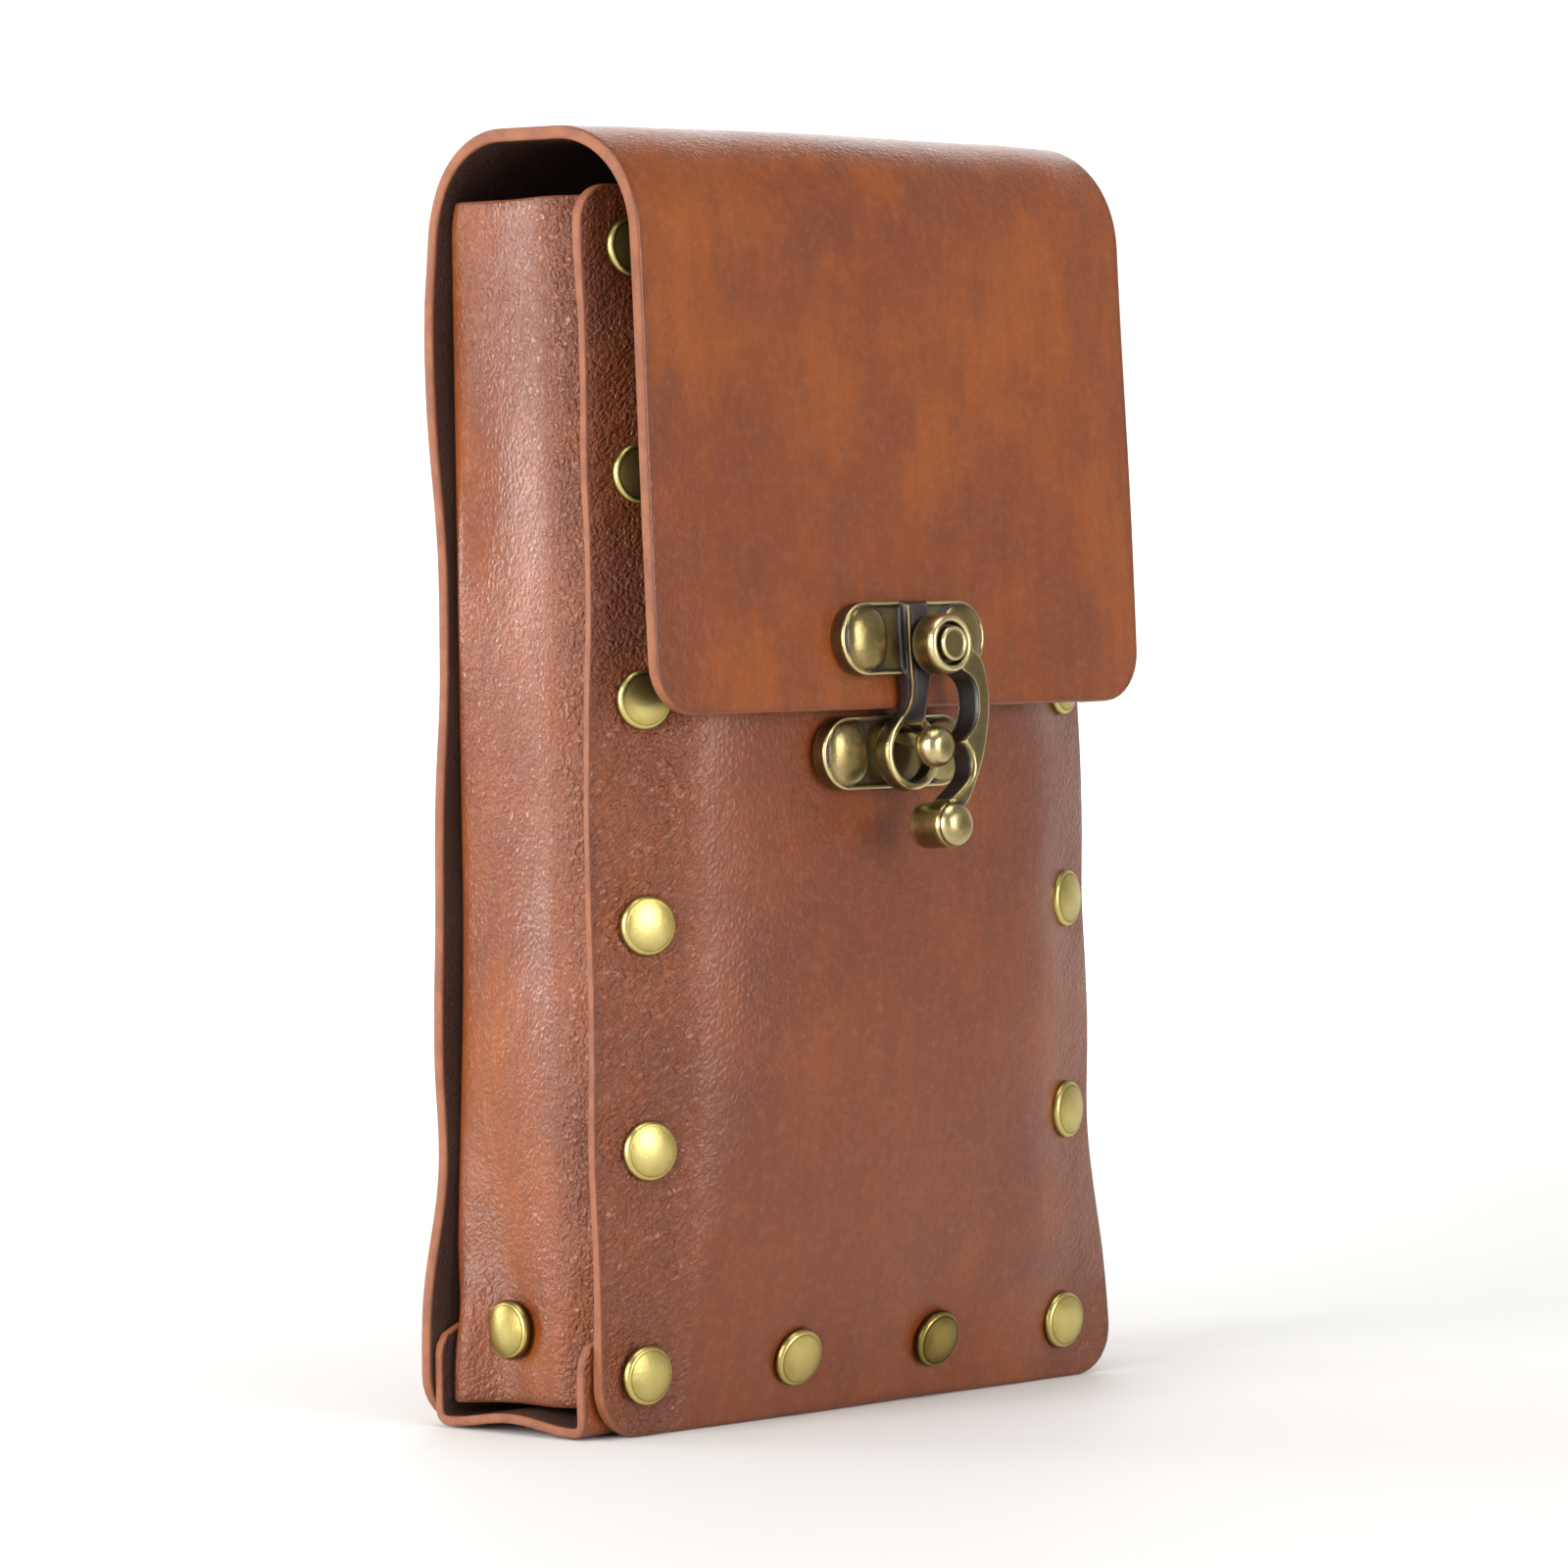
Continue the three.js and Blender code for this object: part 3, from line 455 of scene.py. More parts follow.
@dataclass(frozen=True)
class Sheet:
    """A sheet of leather: a grid of points is its outer face, and its thickness goes inwards.

    Attributes:
        body: The pouch's shared measures.
        node: The node that it replaces.
        thickness: Thickness of the leather.
        dye_and_shade: How dark it is, from 0 to 1, partly from dyeing and partly as painted shade; the front
            panel's value darkens it as if shaded by the flap.
    """

    body: Body
    node: str
    thickness: float
    dye_and_shade: float

    def face(self) -> tuple[Points, np.ndarray]:
        """The sheet's outer face, rows by columns by 3, and how creased it is at each point."""
        raise NotImplementedError

    def build(self, shop: Workshop, hide: bpy.types.Material) -> None:
        """Makes the sheet and dresses it in the hide."""
        grid, crease = self.face()
        shell, fields = leather_shell(grid, self.thickness)
        fields = sheet_fields(fields, crease, self.dye_and_shade)
        shop.add(f"leather_{self.node}", shell, hide, fields, [self.node], "leather")


@dataclass(frozen=True)
class FrontPanel(Sheet):
    """The crowned front panel.

    The edges are shares of the edge's wander at each tenth of the height, foot first.
    """

    foot_corner: float = 7.0
    mouth_corner: float = 5.0
    left_edge: tuple[float, ...] = (0.2, 0.26, 0.35, 0.35, 0.31, 0.36, 0.27, 0.26, 0.29, 0.29, 0.4)
    right_edge: tuple[float, ...] = (1.0, 1.0, 0.3, 0.3, 0.05, 0.0, 0.0, 0.0, 0.0, 0.1, 0.2)

    def face(self) -> tuple[Points, np.ndarray]:
        """Outer face of the front panel, right to left in each row, and how creased it is."""
        body = self.body
        top = body.front_height - RIM
        z = stations(RIM, top, self.foot_corner, self.mouth_corner)
        loss = corner_loss(z - RIM, self.foot_corner) + corner_loss(top - z, self.mouth_corner)
        share = z / body.front_height
        left = -body.half_width - body.edge_wander * line_through(self.left_edge, share) + loss + RIM
        right = body.half_width + body.edge_wander * line_through(self.right_edge, share) - loss - RIM
        x = between(right, left)
        z = np.broadcast_to(z[:, None], x.shape)
        crease = 0.12 + 0.88 * smooth((-33 - x) / 9) + 0.35 * smooth((x - 38) / 8)
        return np.stack((x, body.front_face(x, z), z), 2), np.clip(crease, 0, 1)


@dataclass(frozen=True)
class BackPanelAndFlap(Sheet):
    """The strip that is back panel, fold and flap.

    The edges are shares of the edge's wander at each tenth of the height, foot first.
    """

    foot_corner: float = 7.0
    flap_corner: float = 7.0
    left_edge: tuple[float, ...] = (1.0, 0.92, 0.26, 0.32, 0.22, 0.1, -0.12, -0.18, 0.12, 0.2, -0.04)
    right_edge: tuple[float, ...] = (0.8, 0.7, 0.2, 0.1, 0.0, 0.1, 0.0, -0.1, 0.0, 0.1, -0.1)

    def path(self, s: np.ndarray) -> tuple[np.ndarray, np.ndarray]:
        """The y and z of the strip that is back panel, fold and flap, at a distance s along it from the foot.

        It runs straight up the back, over a quarter circle to the top, over a wider arc down to the
        shoulder, and straight down to the hem.
        """
        body = self.body
        up = body.fold_top - body.back_fold_radius
        back_arc = body.back_fold_radius * math.pi / 2
        centre_y = body.shoulder_y + body.front_fold_radius * math.cos(body.flap_lean)
        back_y = body.half_depth - body.back_fold_radius
        level = back_y - centre_y
        turn = math.pi / 2 - body.flap_lean
        front_arc = body.front_fold_radius * turn
        a = np.clip((s - up) / body.back_fold_radius, 0, math.pi / 2)
        across = np.clip(s - up - back_arc, 0, level)
        b = np.clip((s - up - back_arc - level) / body.front_fold_radius, 0, turn)
        down = np.maximum(s - up - back_arc - level - front_arc, 0)
        back, front = body.back_fold_radius, body.front_fold_radius
        y = body.half_depth - back * (1 - np.cos(a)) - across - front * np.sin(b)
        z = np.minimum(s, up) + back * np.sin(a) - front * (1 - np.cos(b))
        return y - down * math.sin(body.flap_lean), z - down * math.cos(body.flap_lean)

    def length(self) -> float:
        """Length of the strip from the foot of the back panel to the hem."""
        body = self.body
        up = body.fold_top - body.back_fold_radius
        centre_y = body.shoulder_y + body.front_fold_radius * math.cos(body.flap_lean)
        level = body.half_depth - body.back_fold_radius - centre_y
        front_arc = body.front_fold_radius * (math.pi / 2 - body.flap_lean)
        arcs = body.back_fold_radius * math.pi / 2 + level + front_arc
        _, z = self.path(np.array([up + arcs]))
        return up + arcs + (float(z[0]) - body.hem) / math.cos(body.flap_lean)

    def face(self) -> tuple[Points, np.ndarray]:
        """Outer face of the strip that is back panel, fold and flap, and how creased it is.

        The back is pressed in a little round its rivets. The flap swells by a quarter of a millimetre and
        curls in by half a millimetre towards its side edges.
        """
        body = self.body
        length = self.length()
        s = stations(RIM, length - RIM, self.foot_corner, self.flap_corner)
        up = body.fold_top - body.back_fold_radius
        loss = corner_loss(s - RIM, self.foot_corner) + corner_loss(length - RIM - s, self.flap_corner)
        y, z = self.path(s)
        on_back = 1 - smooth((s - up) / body.back_fold_radius)
        share, wander = z / body.front_height, body.edge_wander
        left = -body.half_width - wander * line_through(self.left_edge, share) * on_back + loss + RIM
        right = body.half_width + wander * line_through(self.right_edge, share) * on_back - loss - RIM
        x = between(left, right)
        grid = np.stack((x, np.broadcast_to(y[:, None], x.shape), np.broadcast_to(z[:, None], x.shape)), 2)
        along = np.broadcast_to(s[:, None], x.shape)
        on_flap = smooth((along - up - 20) / 30)
        out = 0.28 * swell(x, along, 9, 34) * (0.35 + 0.65 * on_flap)
        out = out - 0.5 * on_flap * smooth((np.abs(x) - 38) / 13)
        for rivet_x, rivet_z in body.front_seats():
            away = (x - rivet_x) ** 2 + (along - rivet_z) ** 2
            out = out - 0.45 * np.exp(-away / (2 * PRESS**2))
        fold = np.exp(-(((along - up - 22) / 22) ** 2))
        crease = 0.1 + 0.25 * fold + 0.2 * (1 - on_flap)
        return grid + grid_normals(grid) * out[..., None], crease


@dataclass(frozen=True)
class SideGusset(Sheet):
    """A side gusset, a channel whose flanges lie inside the two panels."""

    hand: Hand
    front_bend: float = 10.5
    crest: float = 4.5
    front_tuck: float = 7.0
    foot_flare: float = 2.8
    corner_flare: float = 2.2
    flange: float = 16.0
    mouth_drop: float = 1.2
    rivet_height: float = 14.4
    rivet_back: float = 5.0

    def face(self) -> tuple[Points, np.ndarray]:
        """Outer face of the channel and how creased it is.

        The face bows in by 0.8 mm in the middle of its depth and ripples along its height. At front_bend
        before the front it turns in, with its crest at crest, and runs slantwise behind the front panel.
        Its back corner flares out towards the foot by foot_flare and, in the last of it, by corner_flare
        more.
        """
        body = self.body
        way = self.hand.value
        low = body.bottom_bow + body.gusset_wall + 3 * body.lap_gap
        z = stations(low + RIM, body.front_height - self.mouth_drop - RIM)
        radius = body.back_fold_radius
        lean = radius - np.sqrt(radius**2 - np.maximum(0, z - body.fold_top + radius) ** 2)
        back = body.half_depth - lean - body.shell - body.lap_gap - body.flange_ease(z)
        end = body.gusset_face - self.flange + RIM
        inside, turn = body.gusset_face - body.gusset_bend, body.gusset_face - self.front_tuck

        def front(x: np.ndarray) -> np.ndarray:
            """The y of the front flange at a distance out."""
            heights = np.broadcast_to(z[:, None], x.shape) if x.ndim == 2 else z
            ease = body.flange_ease(heights)
            return body.front_face(way * x, heights) + body.shell + body.lap_gap + ease

        face, bent, turned = (np.full_like(z, x) for x in (body.gusset_face, inside, turn))
        ones = np.ones((len(z), 1))
        back_flange, front_flange = np.linspace(end, inside, 11) * ones, np.linspace(end, turn, 9) * ones
        straight = np.linspace(0, 1, 24)[None, 1:-1]
        first, last = back - body.gusset_bend, front(face) + self.front_bend
        depth = first[:, None] + (last - first)[:, None] * straight
        section = np.concatenate(
            (
                pairs(back_flange[:, :-1], back[:, None]),
                bend(pairs(bent, back), pairs(face, back), pairs(face, first)),
                pairs(np.full_like(depth, body.gusset_face), depth),
                bend(pairs(face, last), pairs(face, last - self.crest), pairs(turned, front(turned)), 18),
                pairs(front_flange[:, -2::-1], front(front_flange[:, -2::-1])),
            ),
            axis=1,
        )
        heights = np.broadcast_to(z[:, None], section.shape[:2])
        share = np.clip((section[..., 1] - last[:, None]) / (first - last)[:, None], 0, 1)
        on_face = np.sin(math.pi * share) * smooth((section[..., 0] - inside) / body.gusset_bend)
        ripple = 0.4 * swell(section[..., 1], heights, 21 + way, 22) - 0.8
        rivet = (section[..., 1] - self.rivet_back) ** 2 + (heights - self.rivet_height) ** 2
        x = section[..., 0] + on_face * ripple - 0.4 * np.exp(-rivet / (2 * PRESS**2)) * on_face
        back_corner = smooth(section[..., 1] / 14) ** 2 * smooth((section[..., 0] - inside + 6) / 6)
        flare = self.foot_flare * (1 - smooth(heights / 80))
        flare = flare + self.corner_flare * (1 - smooth((heights - 8) / 18))
        x = x + back_corner * flare
        grid = np.stack((way * x, section[..., 1], heights), 2)
        crease = 0.3 + 0.5 * smooth((-2 - section[..., 1]) / 7) + 0.2 * swell(section[..., 1], heights, 31, 30)
        if way < 0:
            grid, crease = grid[:, ::-1], crease[:, ::-1]
        return grid, np.clip(crease, 0.15, 1)


@dataclass(frozen=True)
class BottomGusset(Sheet):
    """The bottom gusset, a channel along the foot with open ends."""

    inset: float = 1.0
    reach_front: float = 2.5
    reach_back: float = 4.4
    corner: float = 4.0

    def face(self) -> tuple[Points, np.ndarray]:
        """Outer face of the bottom gusset, a channel along the foot with open ends, and how creased it is."""
        body = self.body
        reach = body.half_width - self.inset - RIM
        x = stations(-reach, reach)
        back = np.full_like(x, body.half_depth - body.shell - body.lap_gap)
        rise, top = body.lap_gap + body.gusset_bend, body.bottom_rise - RIM

        def front(z: float | np.ndarray) -> np.ndarray:
            """The y of the front flange at a height."""
            across = x[:, None] if np.ndim(z) == 2 else x
            return body.front_face(across, z) + body.shell + body.lap_gap

        low, high, ones = np.full_like(x, body.lap_gap), np.full_like(x, rise), np.ones((len(x), 1))
        upright = np.linspace(rise, top, 10)[None] * ones
        share = np.linspace(0, 1, 24)[None, 1:-1]
        first, last = back - body.gusset_bend, front(low) + body.gusset_bend
        floor = first[:, None] + (last - first)[:, None] * share
        arch = body.lap_gap + body.bottom_bow * np.sin(math.pi * share) ** 2 * ones
        section = np.concatenate(
            (
                pairs(back[:, None], upright[:, :0:-1]),
                bend(pairs(back, high), pairs(back, low), pairs(first, low)),
                pairs(floor, arch),
                bend(pairs(last, low), pairs(front(low), low), pairs(front(high), high)),
                pairs(front(upright[:, 1:]), upright[:, 1:]),
            ),
            axis=1,
        )
        depth = (section[:1, :, 0] + body.half_depth) / body.body_depth
        left = -body.half_width - self.reach_front - (self.reach_back - self.reach_front) * depth + RIM
        left = left + corner_loss(top - section[:1, :, 1], self.corner)
        across = reach - (reach - x[:, None]) * (reach - left) / (2 * reach)
        return np.stack((across, section[..., 0], section[..., 1]), 2), np.full(across.shape, 0.4)


@dataclass(frozen=True)
class BeltLoop(Sheet):
    """A belt loop, a strap that stands off the back to let a belt through."""

    hand: Hand
    width: float = 18.0
    spacing: float = 56.0
    height: float = 96.0
    slot: float = 44.0
    room: float = 6.5
    ramp: float = 12.0
    tab: float = 14.0
    corner: float = 3.0

    def half(self) -> float:
        """Half the height of a belt loop."""
        return self.slot / 2 + self.ramp + self.tab

    def face(self) -> tuple[Points, np.ndarray]:
        """Outer face of the loop's strap and how creased it is."""
        body = self.body
        way = self.hand.value
        half = self.half() - RIM
        z = stations(-half, half, self.corner, self.corner)
        loss = corner_loss(half - np.abs(z), self.corner)
        off = 1 - smooth((np.abs(z) - self.slot / 2) / self.ramp)
        y = body.half_depth + body.lap_gap + body.shell + (self.room - body.lap_gap) * off
        middle = way * self.spacing / 2
        side = self.width / 2 - RIM - loss
        x = between(middle - side, middle + side)
        z = np.broadcast_to(z[:, None], x.shape)
        bow = 0.35 * (1 - ((x - middle) / (self.width / 2)) ** 2) * off[:, None]
        return np.stack((x, y[:, None] + bow, z + self.height), 2), np.full(x.shape, 0.3)


def lathe(profile: Sequence[tuple[float, float]], sides: int, closed: bool = False) -> Shell:
    """A turned shell about the z axis.

    Args:
        profile: Radius and height of each ring, running so that the shell's faces point out.
        sides: Points in each ring.
        closed: Whether the last ring joins the first, as in a ring with a hole. Otherwise both ends get a cap.

    Returns:
        Its vertices and faces.
    """
    table = np.asarray(profile, float)
    angle = np.linspace(0, 2 * math.pi, sides, endpoint=False)
    ring = np.stack((np.cos(angle), np.sin(angle)), 1)
    rings = np.concatenate(
        (table[:, :1, None] * ring, np.broadcast_to(table[:, 1, None, None], (len(table), sides, 1))), axis=2
    )
    return stack(rings, closed)


def stack(rings: Points, closed: bool = False) -> Shell:
    """Joins rings of points, anticlockwise seen from above and lowest first, into a capped shell."""
    count, sides = rings.shape[:2]
    number = np.arange(count * sides).reshape(count, sides)
    if closed:
        number = np.concatenate((number, number[:1]))
    after = np.roll(number, -1, axis=1)
    faces = quads(number[:-1], after[:-1], after[1:], number[1:])
    if not closed:
        faces += [tuple(number[0, ::-1].tolist()), tuple(number[-1].tolist())]
    return rings.reshape(-1, 3), faces


def merged(shells: Sequence[Shell]) -> Shell:
    """Several shells as one list of vertices and faces."""
    points, faces, start = [], [], 0
    for shell_points, shell_faces in shells:
        points.append(shell_points)
        faces += [tuple(corner + start for corner in face) for face in shell_faces]
        start += len(shell_points)
    return np.concatenate(points), faces


@dataclass(frozen=True)
class Rivet:
    """A double-cap rivet.

    Attributes:
        name: Its node's name.
        point: Where its axis meets the leather's outer face.
        out: Unit direction out of the leather.
        grip: Thickness of the leather that it holds.
        tarnish: How dark it has gone: 0 is bright and 1.5 is brown.
    """

    name: str
    point: tuple[float, float, float]
    out: tuple[float, float, float]
    grip: float
    tarnish: float = 0.0

    def shell(self) -> tuple[Shell, dict[str, np.ndarray]]:
        """A rivet's shell and the fields wear and tarnish.

        The outer cap is a shallow dome with a rounded shoulder that presses into the leather, and a fine
        line turned round it. Wear is high on the dome and shoulder, and low in the line and where the cap
        meets the leather.
        """
        low = -self.grip
        share = np.linspace(1, 0.02, 10)
        dome = [(3.5 * s, 1.2 + 0.5 * (1 - s**2)) for s in share]
        rim = [(1.2, -0.2), (3.9, -0.35), (4.28, -0.15), (4.4, 0.15), (4.39, 0.45), (4.28, 0.75)]
        rim += [(4.08, 1.0), (3.86, 1.14), (3.7, 1.16), (3.6, 1.17)]
        back = [(0.05, low - 0.95), (1.6, low - 0.9), (2.6, low - 0.72), (3.0, low - 0.45), (2.9, low - 0.2)]
        back += [(1.2, low)]
        profile = back + rim + dome
        wear = [0.5, 0.5, 0.5, 0.3, 0.1, 0.0, 0.0, 0.0, 0.0, 0.15, 0.4, 0.7, 0.85, 0.8, 0.35, 0.35]
        wear += [0.65 + 0.3 * (1 - s) for s in share]
        sides = 36
        points, faces = lathe(profile, sides)
        turn = np.array(Vector((0, 0, 1)).rotation_difference(Vector(self.out)).to_matrix())
        shell = (points @ turn.T + np.array(self.point), faces)
        return shell, {"wear": np.repeat(wear, sides), "tarnish": np.full(len(points), self.tarnish)}


@dataclass(frozen=True)
class RivetSet:
    """The rivets, with the tarnish of the one brown cap at the foot and of the dulled ones on the sides."""

    body: Body
    gussets: tuple[SideGusset, ...]
    loops: tuple[BeltLoop, ...]
    brown: float = 1.1
    dulled: float = 0.25

    def rivets(self) -> list[Rivet]:
        """Every rivet: 14 through each panel, one low on each side gusset and four on the belt loops."""
        body = self.body
        two = body.shell + body.lap_gap + body.gusset_wall
        three = two + body.lap_gap + body.gusset_wall
        seats = body.front_seats()
        names = [f"{side}_{i + 1}" for side in ("left", "right") for i in range(body.column_rivets)]
        names += [f"foot_{i}" for i in range(1, body.foot_rivets - 1)]
        made = []
        for name, (x, z) in zip(names, seats):
            low = z < body.rivet_margin + 1
            at_foot = three if abs(x) > body.rivet_line - 1 else two
            grip = at_foot if low else two + float(body.flange_ease(z))
            step = 0.5
            across = float(body.bulge(x + step, z) - body.bulge(x - step, z)) / (2 * step)
            rise = float(body.bulge(x, z + step) - body.bulge(x, z - step)) / (2 * step)
            out = Vector((-across, -1.0, -rise)).normalized()
            tarnish = self.brown if name == "foot_2" else 0.0
            seat = (x, -body.half_depth - float(body.bulge(x, z)), z)
            made.append(Rivet(f"front_rivet_{name}", seat, tuple(out), grip, tarnish))
            made.append(Rivet(f"back_rivet_{name}", (x, body.half_depth, z), (0.0, 1.0, 0.0), grip))
        for gusset, loop in zip(self.gussets, self.loops):
            side, way = gusset.hand.name.lower(), gusset.hand.value
            seat = (way * body.gusset_face, gusset.rivet_back, gusset.rivet_height)
            out = (float(way), 0.0, 0.0)
            made.append(Rivet(f"side_rivet_{side}", seat, out, body.gusset_wall, self.dulled))
            grip = 2 * body.shell + body.lap_gap
            for end, sign in (("low", -1), ("high", 1)):
                z = loop.height + sign * (loop.half() - loop.tab / 2)
                seat = (way * loop.spacing / 2, body.half_depth + body.lap_gap + body.shell, z)
                made.append(Rivet(f"loop_rivet_{side}_{end}", seat, (0.0, 1.0, 0.0), grip))
        return made

    def build(self, shop: Workshop, metal: bpy.types.Material) -> None:
        """Makes every rivet and dresses it in the metal."""
        for rivet in self.rivets():
            shell, fields = rivet.shell()
            shop.add(f"brass_{rivet.name}", shell, metal, fields, [rivet.name], "rivet_brass")


def obround(half_length: float, radius: float, count: int = 24) -> Points:
    """A long round outline, anticlockwise: two half circles whose centres are half_length from the middle."""
    angle = np.linspace(-math.pi / 2, math.pi / 2, count)
    right = np.stack((half_length + radius * np.cos(angle), radius * np.sin(angle)), 1)
    return np.concatenate((right, -right))


def raised(outlines: Sequence[Points], heights: Sequence[float]) -> Shell:
    """A shell through flat outlines at given heights, lowest first."""
    rings = [np.concatenate((line, np.full((len(line), 1), z)), 1) for line, z in zip(outlines, heights)]
    return stack(np.stack(rings))


def signed_power(values: np.ndarray, power: float) -> np.ndarray:
    """Values raised to a power with their signs kept."""
    return np.sign(values) * np.abs(values) ** power


def tube(path: Points, radius: float, sides: int = 12) -> Shell:
    """A round bar along a smooth line through points that run downwards."""
    share = np.linspace(0, 1, 40)
    line = np.stack([line_through(path[:, axis], share) for axis in range(3)], 1)
    along = np.gradient(line, axis=0)
    along /= np.linalg.norm(along, axis=1, keepdims=True)
    side = np.cross(along, (0.0, 0.0, 1.0))
    side /= np.linalg.norm(side, axis=1, keepdims=True)
    up = np.cross(side, along)
    angle = np.linspace(0, 2 * math.pi, sides, endpoint=False)[:, None]
    rings = line[:, None] + radius * (np.cos(angle) * side[:, None] + np.sin(angle) * up[:, None])
    return stack(rings)


def moved(shell: Shell, x: float = 0.0, y: float = 0.0, z: float = 0.0) -> Shell:
    """A shell shifted in its frame."""
    return shell[0] + np.array((x, y, z)), shell[1]


def inset(outline: Points, distance: float) -> Points:
    """An anticlockwise outline moved in by a distance."""
    along = np.roll(outline, -1, 0) - np.roll(outline, 1, 0)
    out = np.stack((along[:, 1], -along[:, 0]), 1)
    return outline - distance * out / np.linalg.norm(out, axis=1, keepdims=True)


def neighbours(mesh: bpy.types.Mesh) -> tuple[np.ndarray, np.ndarray, np.ndarray]:
    """Both ends of every edge of a mesh, and how many edges meet at each vertex."""
    ends = np.empty(2 * len(mesh.edges), np.int32)
    mesh.edges.foreach_get("vertices", ends)
    a, b = ends.reshape(-1, 2).T
    return a, b, np.bincount(np.concatenate((a, b)), minlength=len(mesh.vertices)).astype(float)


def averaged(values: np.ndarray, link: tuple[np.ndarray, np.ndarray, np.ndarray]) -> np.ndarray:
    """The mean of each vertex's neighbours, for an array of vertices by numbers."""
    a, b, count = link
    columns = [
        np.bincount(a, values[:, k][b], len(count)) + np.bincount(b, values[:, k][a], len(count))
        for k in range(values.shape[1])
    ]
    return np.stack(columns, 1) / count[:, None]


def sideways(out: Points) -> np.ndarray:
    """How far a surface faces sideways in its own frame: 0 facing out, 1 on an upright wall."""
    return smooth(1.15 - np.abs(out[:, 2]))


def cast(shells: Sequence[Shell]) -> tuple[Points, list[tuple[int, ...]], Points, np.ndarray]:
    """Melts several closed shells into one casting with soft corners.

    The shells are joined by a voxel remesh. Taubin smoothing, a step in and a smaller step out, then
    rounds the corners without shrinking the piece. Wear compares each point with the surface smoothed
    much further: it is above 0.5 where the point stands proud and below where it lies in a hollow.

    Args:
        shells: Closed shells in mm that may overlap.

    Returns:
        The casting's points, its faces, the outward direction at each point and its wear.
    """
    points, faces = merged(shells)
    rough = bpy.data.meshes.new("rough")
    rough.from_pydata(points.tolist(), [], faces)
    holder = bpy.data.objects.new("rough", rough)
    bpy.context.scene.collection.objects.link(holder)
    remesh = holder.modifiers.new("melt", "REMESH")
    remesh.mode = "VOXEL"
    remesh.voxel_size = VOXEL * 1.0
    graph = bpy.context.evaluated_depsgraph_get()
    fine = bpy.data.meshes.new_from_object(holder.evaluated_get(graph))
    bpy.data.objects.remove(holder)
    bpy.data.meshes.remove(rough)

    flat = np.empty(3 * len(fine.vertices), np.float32)
    fine.vertices.foreach_get("co", flat)
    place = flat.reshape(-1, 3).astype(float)
    link = neighbours(fine)
    for _ in range(4):
        place = place + 0.5 * (averaged(place, link) - place)
        place = place - 0.52 * (averaged(place, link) - place)
    fine.vertices.foreach_set("co", place.astype(np.float32).ravel())
    fine.update()
    out = np.empty(3 * len(fine.vertices), np.float32)
    fine.vertices.foreach_get("normal", out)
    blurred = place
    for _ in range(36):
        blurred = averaged(blurred, link)
    outward = out.reshape(-1, 3).astype(float)
    proud = np.einsum("ij,ij->i", place - blurred, outward)
    wear = np.clip(0.5 + proud / 0.5, 0, 1)
    corners = np.empty(len(fine.loops), np.int32)
    fine.loops.foreach_get("vertex_index", corners)
    totals = np.empty(len(fine.polygons), np.int32)
    fine.polygons.foreach_get("loop_total", totals)
    split = np.split(corners, np.cumsum(totals)[:-1])
    bpy.data.meshes.remove(fine)
    return place, [tuple(face.tolist()) for face in split], outward, wear


@dataclass(frozen=True)
class Casting:
    """A brass casting of the clasp, made in a flat frame whose origin is the hook's pivot on the flap.

    Attributes:
        body: The pouch's shared measures.
        node: The node that it replaces.
        rides: The body that it moves with.
    """

    body: Body
    node: str
    rides: str
    plate_length: float = 30.0
    plate_height: float = 10.8
    above_hem: float = 10.2
    pivot_drop: float = 1.2
    pivot_side: float = 1.7

    def place(self) -> Place:
        """The hasp's frame, with the pivot on the flap's face as its origin."""
        body = self.body
        height = body.hem + self.above_hem - self.pivot_drop
        y = body.hem_y + (height - body.hem) * math.tan(body.flap_lean)
        return Place((0.0, y, height), body.flap_lean)

    def plate(self, x: float, y: float) -> list[Shell]:
        """A cast plate in its own frame: a dished obround with a raised rim and a tall dome near each end."""
        middle = (self.plate_length - self.plate_height) / 2
        radius = self.plate_height / 2
        profile = (
            (0.35, 0.3),
            (0.05, 0.45),
            (0.0, 0.7),
            (0.0, 2.5),
            (0.1, 2.75),
            (0.28, 2.86),
            (0.5, 2.8),
            (0.7, 2.55),
            (0.9, 2.4),
            (1.6, 2.35),
            (4.9, 2.35),
        )
        at = np.array((x, y))
        base = raised([obround(middle, radius - inset) + at for inset, _ in profile], [z for _, z in profile])
        angle = np.linspace(0, 2 * math.pi, 40, endpoint=False)
        round_box = np.stack((signed_power(np.cos(angle), 0.8), signed_power(np.sin(angle), 0.8)), 1)
        domes = []
        for side in (-1, 1):
            centre = at + np.array((side * (middle + 0.35), 0.0))
            steps = np.linspace(0, 1, 10) ** 0.8
            sizes = [1.0, *np.cos(steps * math.pi / 2 * 0.97)]
            heights = [2.0, *(2.5 + 1.75 * np.sin(steps * math.pi / 2 * 0.97))]
            domes.append(raised([centre + round_box * (4.15 * size, 4.75 * size) for size in sizes], heights))
        return [base, *domes]

    def shells(self) -> list[Shell]:
        """The closed shells that are melted into the casting."""
        raise NotImplementedError

    def dullness(self, points: Points, out: Points) -> np.ndarray:
        """The casting's tarnish at its points, from their outward directions."""
        raise NotImplementedError

    def build(self, shop: Workshop, metal: bpy.types.Material) -> None:
        """Makes the casting and dresses it in the metal."""
        points, faces, outward, wear = cast(self.shells())
        fields = {"wear": wear, "tarnish": self.dullness(points, outward)}
        shell = (self.place().put(points), faces)
        shop.add(f"cast_{self.node}", shell, metal, fields, [self.node], "clasp_brass", self.rides)


